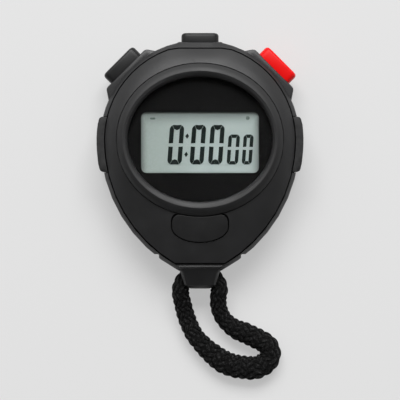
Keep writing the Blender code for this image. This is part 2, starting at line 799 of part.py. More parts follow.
def grip_shape(sign, clearance=0.0):
    """A strip along the flank, from inside the rim to just proud of it."""
    heights = []
    low = GRIP_BOTTOM_Y - clearance
    high = GRIP_TOP_Y + clearance
    for i in range(GRIP_STEPS + 1):
        heights.append(low + (high - low) * i / GRIP_STEPS)

    def side(y, inset):
        if y < 0:
            return flank_x(y, inset)
        return math.sqrt((CASE_RADIUS - inset) ** 2 - y * y)

    proud = GRIP_PROUD + (CUT_PAST if clearance else 0.0)
    outer = [(sign * side(y, -proud), y) for y in heights]
    inner = [(sign * side(y, GRIP_INSET + clearance), y) for y in reversed(heights)]
    top = RIM_Z + GRIP_ABOVE_RIM + (CUT_PAST if clearance else 0.0)
    return prism(outer + inner, GRIP_BOTTOM_Z - clearance, top)


def lug_shape():
    """Rounded sections along -Y: a flared root in the chin's wall, a taper and a rounded tip."""
    start = CHIN_REACH - LUG_ROOT
    end = CHIN_REACH + LUG_LENGTH
    rings = []
    for s in LUG_STATIONS:
        y = -(start + (end - start) * s)
        flare = max(0.0, 1 - s * 3) ** 2
        half = LUG_NECK_HALF_WIDTH + (LUG_ROOT_HALF_WIDTH - LUG_NECK_HALF_WIDTH) * flare
        half -= (LUG_NECK_HALF_WIDTH - LUG_TIP_HALF_WIDTH) * s
        top = RIM_Z - LUG_BELOW_RIM - LUG_FALL * s
        draw = LUG_TIP_ROUNDING * max(0.0, (s - LUG_TIP_SHARE) / (1 - LUG_TIP_SHARE)) ** 2
        middle = (0.0, (top + LUG_BOTTOM_Z) / 2)
        section = rounded_rectangle(half - draw, (top - LUG_BOTTOM_Z) / 2 - draw, LUG_CORNER, middle, 3)
        rings.append([(x, y, z) for x, z in section])
    return loft(rings)


def make_rear_cover(look, plans, axes):
    rings = []
    for i in range(4):
        t = i * math.pi / 6
        inset = BACK_ROUNDING * (1 - math.sin(t))
        rings.append(at_height(case_outline(inset, CHIN_REACH - inset), BACK_ROUNDING * (1 - math.cos(t))))
    shoulder_z = RIM_Z - RIM_SLOPE
    rings.append(at_height(case_outline(), shoulder_z - 2 * RIM_EDGE))
    rings.append(at_height(case_outline(RIM_EDGE, CHIN_REACH - RIM_EDGE), shoulder_z))
    crest = RIM_WIDTH - RIM_EDGE
    rings.append(at_height(case_outline(crest, CHIN_REACH - crest, COVER_FLAT + SEAM + RIM_EDGE), RIM_Z))
    lip = case_outline(RIM_WIDTH, COVER_CHIN + SEAM, COVER_FLAT + SEAM)
    inner = case_outline(CASE_WALL, CAVITY_CHIN, CAVITY_FLAT)
    rings.append(at_height(lip, RIM_Z - RIM_EDGE))
    rings.append(at_height(lip, LEDGE_Z))
    rings.append(at_height(inner, LEDGE_Z))
    rings.append(at_height(inner, FLOOR_THICKNESS))
    cover = finish("rear_cover", loft(rings), look)
    join(cover, finish("rear_cover_lug", lug_shape()))
    for name, plan in plans.items():
        shape_for_pusher(cover, name, plan, axes[name])
    for place, centre in case_posts().items():
        post = cylinder(CASE_POST_RADIUS, FLOOR_THICKNESS - SINK, POST_SPLIT_Z, centre)
        join(cover, finish("rear_post_" + place, post))
        head_room = CASE_HEAD_RADIUS + HEAD_CLEARANCE
        seat = CASE_HEAD_SINK + CASE_HEAD_HEIGHT + HEAD_CLEARANCE
        shank_room = CASE_SHANK_RADIUS + HEAD_CLEARANCE
        bore = [
            (0.0, -CUT_PAST),
            (head_room, -CUT_PAST),
            (head_room, seat),
            (shank_room, seat),
            (shank_room, POST_SPLIT_Z + CUT_PAST),
            (0.0, POST_SPLIT_Z + CUT_PAST),
        ]
        cut(cover, finish("rear_post_bore_" + place, lathe(bore, FINE_STEPS, centre)))
    for sign, side in ((1, "right"), (-1, "left")):
        cut(cover, finish("grip_recess_" + side, grip_shape(sign, SEAM)))
        x = sign * (flank_x(NOTCH_Y, 0.0) - NOTCH_DEPTH / 2 + CUT_PAST)
        y = NOTCH_Y - NOTCH_LENGTH / 2
        notch = rounded_rectangle(NOTCH_DEPTH / 2 + CUT_PAST, NOTCH_LENGTH / 2, RIM_EDGE, (x, y), 1)
        cut(cover, finish("rim_notch_" + side, prism(notch, -CUT_PAST, RIM_Z + CUT_PAST)))
    cut(cover, finish("cord_eye", tube(eye_path(), EYE_RADIUS, EYE_SIDES)))
    return cover


def make_front_cover(look):
    bridge = case_outline(CASE_WALL + PART_GAP, CAVITY_CHIN - PART_GAP, CAVITY_FLAT - PART_GAP)
    tongue_z = SKIRT_Z - TONGUE_DEPTH
    hole = [on_ellipse(p, LCD_HALF_WIDTH / 2, LCD_HALF_HEIGHT / 2) for p in cover_outline()]
    groove = [on_ellipse(p, RING_A + SEAM, RING_B + SEAM) for p in cover_outline()]
    wall = [on_ellipse(p, RING_A + SEAM + RECESS_WALL, RING_B + SEAM + RECESS_WALL) for p in cover_outline()]
    rings = [at_height(cover_outline(), SKIRT_Z)]
    rings += [cover_surface(t) for t in DOME_STATIONS]
    rings.append(at_height(groove, SEAT_Z))
    rings.append(at_height(hole, SEAT_Z))
    rings.append(at_height(hole, SEAT_UNDER_Z))
    rings.append(at_height(wall, SEAT_UNDER_Z))
    rings += [cover_underside(t) for t in UNDERSIDE_STATIONS]
    inner = [(x, y) for x, y, z in cover_underside(0.0)]
    rings.append(at_height(inner, tongue_z))
    rings.append(at_height(bridge, tongue_z))
    rings.append(at_height(bridge, SKIRT_Z))
    cover = finish("front_cover", loft(rings, closed=True), look)
    low_z = POST_SPLIT_Z + PART_GAP
    # The case posts run up into the shell and end halfway through it, under the dome and the seat.
    room = [at_height(cover_outline(), low_z - CUT_PAST)]
    room += [cover_surface(t, -COVER_WALL / 2, POST_TOP_Z) for t in DOME_STATIONS]
    post_room = finish("front_post_room", loft(room))
    for place, centre in case_posts().items():
        post = finish("front_post_" + place, cylinder(CASE_POST_RADIUS, low_z, COVER_TOP_Z, centre))
        boolean(post, post_room, "INTERSECT")
        join(cover, post)
        end_z = CASE_SCREW_END_Z + PART_GAP
        thread = cylinder(CASE_SHANK_RADIUS + THREAD_CLEARANCE, low_z - CUT_PAST, end_z, centre, SMALL_STEPS)
        cut(cover, finish("front_post_thread_" + place, thread))
    for i, centre in enumerate(board_posts()):
        low_z = BOARD_TOP_Z + PART_GAP
        top_z = SEAT_UNDER_Z + SINK
        post = cylinder(BOARD_POST_RADIUS, low_z, top_z, centre, SMALL_STEPS)
        join(cover, finish(f"board_post_{i + 1}", post))
        end_z = BOARD_SCREW_END_Z + PART_GAP
        thread = cylinder(BOARD_SHANK_RADIUS + THREAD_CLEARANCE, low_z - CUT_PAST, end_z, centre, SMALL_STEPS)
        cut(cover, finish(f"board_post_thread_{i + 1}", thread))
    half = LCD_HALF_WIDTH + PART_GAP
    window = box(half, LCD_HALF_HEIGHT + PART_GAP, SEAT_UNDER_Z - CUT_PAST, SEAT_Z + CUT_PAST, DISPLAY_PLACE)
    cut(cover, finish("display_window", window))
    hole = prism(button_outline(BUTTON_GROOVE), SEAT_UNDER_Z - 2 * CUT_PAST, COVER_TOP_Z + CUT_PAST)
    cut(cover, finish("front_button_hole", hole))


def make_ring(look):
    """The oval bead: a foot beside the lens, a slope up to its crest and a lip over the lens."""
    crest_z = COVER_TOP_Z + RING_HEIGHT
    outer_z = COVER_TOP_Z + RING_OUTER_RISE
    inner_z = LENS_TOP_Z + RING_LIP + RING_INNER_RISE
    profile = [(RING_FOOT_SHARE, SEAT_Z + PART_GAP), (0.0, SEAT_Z + PART_GAP)]
    for i in range(RING_STEPS):
        t = i / RING_STEPS * math.pi / 2
        profile.append((RING_CREST * i / RING_STEPS, outer_z + (crest_z - outer_z) * math.sin(t)))
    for i in range(RING_STEPS + 1):
        t = i / RING_STEPS * math.pi / 2
        share = RING_CREST + (1 - RING_CREST) * math.sin(t)
        profile.append((share, inner_z + (crest_z - inner_z) * math.cos(t)))
    profile += [(1.0, LENS_TOP_Z + RING_LIP), (RING_FOOT_SHARE, LENS_TOP_Z + RING_LIP)]
    rings = []
    for share, z in profile:
        rings.append(at_height(ellipse(RING_A - RING_BAND_A * share, RING_B - RING_BAND_B * share), z))
    finish("bezel_ring", loft(rings, closed=True), look)


def make_display(clear, ink, glass, white, rubber):
    """The lens, the printed mask behind it, the display glass, its holder and the two strips."""
    rings = [at_height(ellipse(LENS_A, LENS_B), LENS_Z)]
    rings.append(at_height(ellipse(LENS_A, LENS_B), LENS_TOP_Z - LENS_EDGE))
    rings.append(at_height(ellipse(LENS_A - LENS_EDGE, LENS_B - LENS_EDGE), LENS_TOP_Z))
    finish("lens", loft(rings), clear)
    mask = finish("display_mask", prism(ellipse(LENS_A, LENS_B), MASK_Z, MASK_Z + MASK_THICKNESS), ink)
    pane = rounded_rectangle(WINDOW_WIDTH / 2, WINDOW_HEIGHT / 2, WINDOW_CORNER, DISPLAY_PLACE)
    cut(mask, finish("display_mask_window", prism(pane, SEAT_Z, LENS_Z)))
    half = LCD_HALF_HEIGHT
    step_z = LCD_Z + LCD_THICKNESS / 2
    section = [
        (-half, step_z),
        (-half + LCD_LEDGE, step_z),
        (-half + LCD_LEDGE, LCD_Z),
        (half - LCD_LEDGE, LCD_Z),
        (half - LCD_LEDGE, step_z),
        (half, step_z),
        (half, LCD_TOP_Z),
        (-half, LCD_TOP_Z),
    ]
    section = [(y + DISPLAY_Y, z) for y, z in section]
    finish("lcd_panel", bar(section, LCD_HALF_WIDTH, "X"), glass)
    low_z = BOARD_TOP_Z + PART_GAP
    high_z = SEAT_UNDER_Z - PART_GAP
    frame = rounded_rectangle(
        LCD_HALF_WIDTH + PART_GAP + HOLDER_WALL,
        half + PART_GAP + HOLDER_WALL,
        HOLDER_WALL,
        DISPLAY_PLACE,
    )
    holder = finish("lcd_holder", prism(frame, low_z, high_z), white)
    room = LCD_HALF_WIDTH + PART_GAP
    pocket = box(room, half + PART_GAP, LCD_Z - PART_GAP, high_z + CUT_PAST, DISPLAY_PLACE)
    cut(holder, finish("lcd_holder_pocket", pocket))
    opening = box(
        LCD_HALF_WIDTH - HOLDER_WALL,
        half - LCD_LEDGE - HOLDER_WALL / 2,
        low_z - CUT_PAST,
        high_z,
        DISPLAY_PLACE,
    )
    cut(holder, finish("lcd_holder_opening", opening))
    strip_half = (LCD_LEDGE - 2 * PART_GAP) / 2
    length_half = LCD_HALF_WIDTH - 2 * HOLDER_WALL
    for side, place in (("upper", 1), ("lower", -1)):
        centre = (0.0, DISPLAY_Y + place * (half - PART_GAP - strip_half))
        slot = box(length_half + PART_GAP, strip_half + PART_GAP, low_z - CUT_PAST, high_z, centre)
        cut(holder, finish("zebra_slot_" + side, slot))
        strip = box(length_half, strip_half, BOARD_TOP_Z + GASKET_GAP, step_z - GASKET_GAP, centre)
        finish("zebra_" + side, strip, rubber)


def make_board(green, resin, steel):
    """The board with notches round the case posts, the sealed chip, the crystal and its screws."""
    plan = case_outline(BOARD_INSET, CHIN_REACH - BOARD_CHIN_STEP)
    board = finish("main_board", prism(plan, BOARD_Z, BOARD_TOP_Z), green)
    for place, centre in case_posts().items():
        notch = cylinder(CASE_POST_RADIUS + PART_GAP, BOARD_Z - CUT_PAST, BOARD_TOP_Z + CUT_PAST, centre)
        cut(board, finish("board_notch_" + place, notch))
    head_z = BOARD_Z - LAYER_GAP - BOARD_HEAD_HEIGHT
    for i, centre in enumerate(board_posts()):
        radius = BOARD_SHANK_RADIUS + HEAD_CLEARANCE
        hole = cylinder(radius, BOARD_Z - CUT_PAST, BOARD_TOP_Z + CUT_PAST, centre, SMALL_STEPS)
        cut(board, finish(f"board_hole_{i + 1}", hole))
        screw(
            f"board_screw_{i + 1}",
            centre,
            BOARD_HEAD_RADIUS,
            head_z,
            BOARD_HEAD_HEIGHT,
            BOARD_SHANK_RADIUS,
            BOARD_SCREW_END_Z,
            steel,
        )
    top_z = BOARD_Z - GASKET_GAP
    profile = [(0.0, top_z), (BLOB_RADIUS, top_z)]
    for i in range(1, 5):
        t = i / 4 * math.pi / 2
        profile.append((BLOB_RADIUS * math.cos(t), top_z - BLOB_HEIGHT * math.sin(t)))
    blob_place = (BLOB_EDGE - BOARD_RADIUS, BLOB_Y)
    finish("controller_blob", lathe(profile, FINE_STEPS, blob_place), resin)
    can = cylinder(CRYSTAL_RADIUS, 0.0, CRYSTAL_LENGTH, steps=SMALL_STEPS)
    crystal = finish("quartz_crystal", can, steel)
    crystal.location = (BOARD_RADIUS - CRYSTAL_EDGE, CRYSTAL_Y, top_z - CRYSTAL_RADIUS)
    crystal.rotation_euler = (math.pi / 2, 0.0, 0.0)


def make_power(steel, brass, ceramic):
    """The coin cell between its two contacts, and the sounder on the case's floor."""
    top_z = BATTERY_Z + BATTERY_THICKNESS
    can = [
        (0.0, BATTERY_Z),
        (BATTERY_RADIUS - BATTERY_STEP, BATTERY_Z),
        (BATTERY_RADIUS, BATTERY_Z + BATTERY_STEP),
        (BATTERY_RADIUS, top_z),
        (0.0, top_z),
    ]
    finish("battery", lathe(can, 2 * FINE_STEPS, (0.0, BATTERY_Y)), steel)
    reach = BATTERY_RADIUS + PART_GAP
    low = BATTERY_Z - LAYER_GAP
    leg_top = BOARD_Z - GASKET_GAP
    profile = [
        (-reach - STRIP_THICKNESS, leg_top),
        (-reach - STRIP_THICKNESS, low - STRIP_THICKNESS),
        (reach + STRIP_THICKNESS, low - STRIP_THICKNESS),
        (reach + STRIP_THICKNESS, leg_top),
        (reach, leg_top),
        (reach, low),
        (-reach, low),
        (-reach, leg_top),
    ]
    clip = finish("battery_clip", bar(profile, STRIP_WIDTH / 2, "Y"), steel)
    clip.location.y = BATTERY_Y
    foot = leg_top - STRIP_THICKNESS
    touch = top_z + GASKET_GAP
    profile = [
        (-LEAF_REACH, leg_top),
        (-LEAF_REACH, foot),
        (0.0, foot),
        (LEAF_REACH, touch),
        (LEAF_REACH, touch + STRIP_THICKNESS),
        (0.0, leg_top),
    ]
    leaf = finish("battery_leaf", bar(profile, STRIP_WIDTH / 2, "Y"), brass)
    leaf.location.y = BATTERY_Y
    plate_z = FLOOR_THICKNESS + PART_GAP
    centre = (0.0, BUZZER_Y)
    plate = cylinder(BUZZER_RADIUS, plate_z, plate_z + BUZZER_PLATE, centre, 2 * FINE_STEPS)
    finish("buzzer_plate", plate, brass)
    ceramic_z = plate_z + BUZZER_PLATE + GASKET_GAP
    disc = cylinder(CERAMIC_RADIUS, ceramic_z, ceramic_z + CERAMIC_THICKNESS, centre, 2 * FINE_STEPS)
    finish("buzzer_ceramic", disc, ceramic)
    coil(
        "buzzer_spring",
        BUZZER_SPRING_RADIUS,
        BUZZER_SPRING_WIRE,
        ceramic_z + CERAMIC_THICKNESS + GASKET_GAP,
        leg_top,
        BUZZER_SPRING_TURNS,
        steel,
        centre=centre,
    )


def make_front_button(look, rubber):
    """The button takes its top from the dome that it lies in. A flange holds it under the cover."""
    middle = (0.0, BUTTON_TOP_Y - BUTTON_CORNER - BUTTON_SIDE)
    travel = empty("front_button_axis", Matrix.Translation((*middle, BUTTON_FLANGE_Z)))
    back = travel.matrix_world.inverted()
    body = prism(button_outline(), BUTTON_FLANGE_Z, COVER_TOP_Z + CUT_PAST)
    body.transform(back)
    button = finish("front_button", body, look, travel)
    rings = [at_height(cover_outline(), BUTTON_FLANGE_Z - CUT_PAST)]
    rings += [cover_surface(t, BUTTON_PROUD) for t in DOME_STATIONS]
    boolean(button, finish("front_button_dome", loft(rings)), "INTERSECT")
    flange = button_outline(BUTTON_FLANGE)
    flange_top = BUTTON_FLANGE_Z + BUTTON_FLANGE_THICKNESS
    join(button, finish("front_button_flange", prism(flange, BUTTON_FLANGE_Z, flange_top)))
    low_z = BOARD_TOP_Z + GASKET_GAP
    high_z = BUTTON_FLANGE_Z - GASKET_GAP
    skirt = DOME_SKIN
    profile = [
        (0.0, high_z),
        (DOME_TOP_RADIUS, high_z),
        (DOME_BASE_RADIUS, low_z + skirt),
        (DOME_BASE_RADIUS, low_z),
        (DOME_BASE_RADIUS - skirt, low_z),
        (DOME_TOP_RADIUS - skirt, high_z - DOME_CROWN),
        (0.0, high_z - DOME_CROWN),
    ]
    finish("button_dome", lathe(profile, FINE_STEPS, middle), rubber)


def make_grip(name, sign, look):
    bm = grip_shape(sign)
    x_least = min(abs(v.co.x) for v in bm.verts if v.co.y > GRIP_TOP_Y - SINK) + GRIP_PROUD
    outer = [v for v in bm.verts if abs(v.co.x) > x_least]
    rim = []
    for edge in bm.edges:
        a, b = edge.verts
        if a in outer and b in outer and (a.co.z == b.co.z or abs(a.co.y - b.co.y) < 1e-6):
            if a.co.z == b.co.z or a.co.y > GRIP_TOP_Y - SINK or a.co.y < GRIP_BOTTOM_Y + SINK:
                rim.append(edge)
    bmesh.ops.bevel(bm, geom=rim, offset=GRIP_EDGE, segments=3, profile=0.5, affect="EDGES", material=-1)
    finish(name, bm, look)


def make_gasket(look):
    """A flat ring on the rear cover's ledge, outside the front cover's tongue."""
    room = (CASE_WALL - RIM_WIDTH + PART_GAP - GASKET_WIDTH) / 2
    low_z = LEDGE_Z + GASKET_GAP
    high_z = SKIRT_Z - GASKET_GAP

    def outline(inset):
        return case_outline(RIM_WIDTH + inset, COVER_CHIN + SEAM - inset, COVER_FLAT + SEAM - inset)

    outer = outline(room)
    inner = outline(room + GASKET_WIDTH)
    rings = [at_height(outer, low_z), at_height(outer, high_z), at_height(inner, high_z)]
    rings.append(at_height(inner, low_z))
    finish("case_gasket", loft(rings, closed=True), look)


def make_cord(look, band):
    """The loop of cord, and the band that holds its two ends together inside the lug."""
    route = cord_route()
    points, length = smooth_route(route, CORD_POINTS)
    # A short first and last stretch sets the end faces square to the splice.
    points.insert(1, route[0].lerp(route[1], 0.5))
    points.insert(-1, route[-1].lerp(route[-2], 0.5))
    wire_curve("lanyard_cord", points, CORD_RADIUS, CORD_BEVEL_STEPS, look)
    middle = (route[0] + route[-1]) / 2
    splice = cylinder(CORD_RADIUS, -SPLICE_HALF_LENGTH, SPLICE_HALF_LENGTH)
    obj = finish("cord_splice", splice, band)
    obj.location = middle
    obj.rotation_euler = (0.0, math.pi / 2, 0.0)
    print(f"cord length {length * 1000:.1f} mm")


def main():
    clear_scene()
    black = material("black_plastic", (0.021, 0.022, 0.025), 0.42)
    front_black = material("front_plastic", (0.030, 0.031, 0.035), 0.38)
    cap_black = material("cap_plastic", (0.026, 0.026, 0.029), 0.45)
    button_black = material("button_plastic", (0.020, 0.020, 0.023), 0.40)
    red = material("red_plastic", (0.78, 0.020, 0.018), 0.35)
    ring_black = material("ring_plastic", (0.034, 0.035, 0.038), 0.30)
    grip_black = material("grip_rubber", (0.030, 0.030, 0.031), 0.80)
    clear = material("clear_plastic", (0.62, 0.66, 0.66), 0.06)
    ink = material("mask_ink", (0.006, 0.006, 0.007), 0.35)
    glass = material("display_glass", (0.33, 0.39, 0.35), 0.25)
    white = material("white_plastic", (0.78, 0.78, 0.75), 0.50)
    rubber = material("grey_rubber", (0.10, 0.10, 0.10), 0.85)
    green = material("board_green", (0.020, 0.14, 0.045), 0.45)
    resin = material("chip_resin", (0.012, 0.012, 0.012), 0.30)
    steel = material("steel", (0.58, 0.58, 0.56), 0.30, 1.0)
    brass = material("brass", (0.72, 0.50, 0.20), 0.35, 1.0)
    ceramic = material("sounder_ceramic", (0.72, 0.70, 0.64), 0.55)
    braid = material("cord_braid", (0.012, 0.012, 0.013), 0.90)
    band = material("splice_band", (0.05, 0.05, 0.05), 0.60)

    plans = pusher_plan()
    axes = {}
    for name, plan in plans.items():
        axes[name] = empty(name + "_axis", pusher_axis(plan["turn"], plan["aim_y"]))
        make_pusher(name, plan, axes[name], red if name == "right_pusher" else cap_black, steel, rubber)
        make_contact(name.replace("pusher", "contact"), plan, axes[name], brass)
    make_rear_cover(black, plans, axes)
    make_front_cover(front_black)
    make_gasket(rubber)
    make_ring(ring_black)
    make_display(clear, ink, glass, white, rubber)
    make_board(green, resin, steel)
    make_power(steel, brass, ceramic)
    make_front_button(button_black, rubber)
    make_grip("grip_right", 1, grip_black)
    make_grip("grip_left", -1, grip_black)
    for place, centre in case_posts().items():
        screw(
            "case_screw_" + place,
            centre,
            CASE_HEAD_RADIUS,
            CASE_HEAD_SINK,
            CASE_HEAD_HEIGHT,
            CASE_SHANK_RADIUS,
            CASE_SCREW_END_Z,
            steel,
        )
    make_cord(braid, band)


main()
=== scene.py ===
# %% [markdown]
# A digital stopwatch, dressed for its picture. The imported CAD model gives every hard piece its
# place and its main shape. This script gives the pieces their finishes, makes the parts that a
# solid can't show well (the braided cord, the segments on the display), and lights the whole.
# All lengths are in metres, and the dial faces up along Z, with the cord towards minus Y.

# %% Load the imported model
import math

import bmesh
import bpy
from mathutils import Matrix, Vector


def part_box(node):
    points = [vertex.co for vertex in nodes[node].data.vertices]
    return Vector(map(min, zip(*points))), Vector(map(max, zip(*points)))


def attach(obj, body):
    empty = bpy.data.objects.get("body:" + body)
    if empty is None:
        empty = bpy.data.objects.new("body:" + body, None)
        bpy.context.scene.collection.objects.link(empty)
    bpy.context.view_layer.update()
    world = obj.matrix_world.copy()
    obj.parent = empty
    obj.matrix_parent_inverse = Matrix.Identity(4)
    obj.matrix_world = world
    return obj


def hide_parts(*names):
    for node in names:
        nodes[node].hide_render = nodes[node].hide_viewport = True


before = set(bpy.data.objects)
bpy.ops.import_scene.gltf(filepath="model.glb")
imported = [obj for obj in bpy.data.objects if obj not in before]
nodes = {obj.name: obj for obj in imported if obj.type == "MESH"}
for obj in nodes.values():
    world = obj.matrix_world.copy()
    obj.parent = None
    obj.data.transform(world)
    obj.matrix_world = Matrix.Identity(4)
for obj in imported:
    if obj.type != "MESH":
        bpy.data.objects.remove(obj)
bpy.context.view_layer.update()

print("pieces in the packed model:", len(nodes))

# %% [markdown]
# The picture is taken from straight above, so the camera looks down the Z axis. A wide lens near
# by would make the raised dial look too large for the case round it. A long lens from three
# quarters of a metre keeps the outline true, as in a product photograph.

# %% The camera
VIEW_CENTRE = Vector((0.0, -0.0186, 0.012))
VIEW_WIDTH = 0.124
VIEW_DISTANCE = 0.75

camera_data = bpy.data.cameras.new("overhead_camera")
camera_data.sensor_width = 36.0
camera_data.lens = camera_data.sensor_width * VIEW_DISTANCE / VIEW_WIDTH
camera_data.clip_start = 0.01
camera_data.clip_end = 20.0
camera = bpy.data.objects.new("overhead_camera", camera_data)
camera.location = VIEW_CENTRE + Vector((0.0, 0.0, VIEW_DISTANCE))
bpy.context.scene.collection.objects.link(camera)
bpy.context.scene.camera = camera
print(f"lens {camera_data.lens:.0f} mm at {VIEW_DISTANCE} m")

# %% [markdown]
# The cord is a soft round braid. It leaves the eye in the lug on the left, lies on the table in a
# loop and comes back into the eye from the right. A rope simulation would let it fall anyhow, but
# its lie is known, so the route is a list of points that a smooth curve runs through, the same
# points that the CAD cord follows. A braid with no core spreads where it lies flat, so each point
# also has half the width that the photograph shows there.

# %% The cord's route
# X, the distance along Y from the chin of the case, Z, and half the braid's width.
CORD_ROUTE = (
    (-0.00150, -0.00075, 0.0062, 0.00270),
    (-0.00220, -0.00079, 0.0062, 0.00270),
    (-0.00335, -0.00142, 0.0062, 0.00270),
    (-0.00460, -0.00252, 0.0062, 0.00270),
    (-0.00550, -0.00383, 0.0062, 0.00270),
    (-0.00600, -0.00527, 0.0061, 0.00275),
    (-0.00612, -0.00660, 0.0058, 0.00280),
    (-0.00590, -0.00840, 0.0051, 0.00280),
    (-0.00510, -0.01170, 0.0038, 0.00285),
    (-0.00445, -0.01420, 0.0032, 0.00290),
    (-0.00353, -0.01675, 0.0030, 0.00290),
    (-0.00254, -0.01891, 0.0030, 0.00290),
    (-0.00145, -0.02090, 0.0030, 0.00290),
    (0.00010, -0.02258, 0.0030, 0.00300),
    (0.00180, -0.02450, 0.0030, 0.00320),
    (0.00605, -0.02800, 0.0030, 0.00370),
    (0.00850, -0.02930, 0.0030, 0.00380),
    (0.01110, -0.03020, 0.0030, 0.00380),
    (0.01640, -0.03080, 0.0030, 0.00380),
    (0.01880, -0.03020, 0.0030, 0.00370),
    (0.02080, -0.02900, 0.0030, 0.00360),
    (0.02200, -0.02730, 0.0030, 0.00340),
    (0.02210, -0.02540, 0.0030, 0.00330),
    (0.02120, -0.02370, 0.0030, 0.00340),
    (0.01950, -0.02240, 0.0030, 0.00340),
    (0.01450, -0.01995, 0.0030, 0.00340),
    (0.01210, -0.01900, 0.0030, 0.00330),
    (0.01010, -0.01785, 0.0030, 0.00300),
    (0.00840, -0.01640, 0.0031, 0.00280),
    (0.00710, -0.01480, 0.0033, 0.00270),
    (0.00622, -0.01280, 0.0038, 0.00270),
    (0.00575, -0.01070, 0.0044, 0.00270),
    (0.00574, -0.00850, 0.0051, 0.00270),
    (0.00600, -0.00660, 0.0058, 0.00280),
    (0.00600, -0.00527, 0.0061, 0.00275),
    (0.00550, -0.00383, 0.0062, 0.00270),
    (0.00460, -0.00252, 0.0062, 0.00270),
    (0.00335, -0.00142, 0.0062, 0.00270),
    (0.00220, -0.00079, 0.0062, 0.00270),
    (0.00150, -0.00075, 0.0062, 0.00270),
)
CHIN_REACH = 0.0405
CURVE_STEPS = 32


def even_route(stations, count):
    """Evenly spaced points on a smooth curve through the stations, and the curve's length."""
    ends = [2 * stations[0] - stations[1], *stations, 2 * stations[-1] - stations[-2]]
    fine = []
    for a, b, c, d in zip(ends, ends[1:], ends[2:], ends[3:]):
        for i in range(CURVE_STEPS):
            t = i / CURVE_STEPS
            bend = (2 * a - 5 * b + 4 * c - d) * t * t + (3 * b - a - 3 * c + d) * t**3
            fine.append(0.5 * (2 * b + (c - a) * t + bend))
    fine.append(stations[-1])
    reach = [0.0]
    for p, q in zip(fine, fine[1:]):
        reach.append(reach[-1] + (q - p).to_3d().length)
    points, at = [], 0
    for i in range(count):
        goal = reach[-1] * i / (count - 1)
        while at < len(fine) - 2 and reach[at + 1] < goal:
            at += 1
        share = (goal - reach[at]) / (reach[at + 1] - reach[at])
        points.append(fine[at].lerp(fine[at + 1], min(1.0, share)))
    return points, reach[-1]


CORD_STATIONS = 660
route_points, cord_length = even_route(
    [Vector((x, y - CHIN_REACH, z, half)) for x, y, z, half in CORD_ROUTE], CORD_STATIONS + 1
)
cord_line = [p.to_3d() for p in route_points]
half_widths = [p.w for p in route_points]
print(f"cord length {cord_length * 1000:.1f} mm, widest {2000 * max(half_widths):.1f} mm")
print("points on its middle line:", len(cord_line))

# %% [markdown]
# A round braid is two sets of strands that wind opposite ways and pass over two and under two of
# each other. Modelling every strand as a tube gives hundreds of thousands of hidden faces. A fine
# grid rolled into a tube, whose radius rises and falls where the strands cross, has the same
# surface. The grid also remembers how far each point lies across its strand, for the yarn lines.

# %% How the braid rises and falls
STRANDS = 10
# How round a strand's back is, how high it lies on the whole, and how much it dips and climbs.
STRAND_ROUNDNESS = 0.96
STRAND_LIE = 0.58
STRAND_SWING = 0.42


def braid_height(p, q):
    """Height (0 to 1) of the braid, and the place across the strand that lies on top. Here p and
    q count the strands of the two sets, so that their whole numbers part one from the next."""
    i, j = math.floor(p), math.floor(q)
    first = math.cos(math.tau * (q - i) / 4)
    second = -math.cos(math.tau * (j - p + 1) / 4)
    across_p, across_q = 2 * (p - i) - 1, 2 * (q - j) - 1
    over_p = math.sqrt(1 - STRAND_ROUNDNESS * across_p**2) * (STRAND_LIE + STRAND_SWING * first)
    over_q = math.sqrt(1 - STRAND_ROUNDNESS * across_q**2) * (STRAND_LIE + STRAND_SWING * second)
    if over_p > over_q:
        return over_p, across_p
    return over_q, across_q


print(f"{STRANDS} strands wind each way, and at a crossing they lie {braid_height(0.5, 0.5)[0]:.2f} high")

# %% Roll a grid into the braided tube
CORD_HALF_HEIGHT = 0.0027
BRAID_REPEAT = 0.0022
BRAID_DEPTH = 0.00075
AROUND = 144
SEAM_GAP = 1e-7


def braided_cord():
    """A grid from -0.5 to 0.5: its X runs along the cord and its Y round it."""
    bm = bmesh.new()
    bmesh.ops.create_grid(bm, x_segments=CORD_STATIONS, y_segments=AROUND, size=0.5)
    height = bm.verts.layers.float.new("braid_height")
    across = bm.verts.layers.float.new("across_strand")
    rises = []
    for i in range(CORD_STATIONS + 1):
        way = cord_line[min(i + 1, CORD_STATIONS)] - cord_line[max(i - 1, 0)]
        way.normalize()
        up = (Vector((0.0, 0.0, 1.0)) - way * way.z).normalized()
        rises.append((up * CORD_HALF_HEIGHT, way.cross(up) * half_widths[i]))
    turns = cord_length / BRAID_REPEAT
    for v in bm.verts:
        along, around = v.co.x + 0.5, v.co.y + 0.5
        i = round(along * CORD_STATIONS)
        p = around * STRANDS + along * turns
        q = around * STRANDS - along * turns
        v[height], v[across] = braid_height(p, q)
        share = 1 - BRAID_DEPTH / CORD_HALF_HEIGHT * (1 - v[height])
        up, out = rises[i]
        turn = math.tau * around
        v.co = cord_line[i] + share * (math.cos(turn) * up + math.sin(turn) * out)
    bmesh.ops.remove_doubles(bm, verts=bm.verts, dist=SEAM_GAP)
    bmesh.ops.holes_fill(bm, edges=[e for e in bm.edges if e.is_boundary], sides=0)
    bmesh.ops.recalc_face_normals(bm, faces=bm.faces)
    return bm


# %% A helper that turns a bmesh into a piece of the stopwatch
STRAND_FOLD = math.radians(40)


def piece(name, bm, body, look, smooth=True):
    """A new piece that moves with a body and wears the given finish."""
    mesh = bpy.data.meshes.new(name)
    bm.to_mesh(mesh)
    bm.free()
    if smooth:
        mesh.shade_smooth()
        mesh.set_sharp_from_angle(angle=STRAND_FOLD)
    mesh.materials.append(look)
    obj = bpy.data.objects.new(name, mesh)
    bpy.context.scene.collection.objects.link(obj)
    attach(obj, body)
    print(name, len(mesh.polygons), "faces")
    return obj


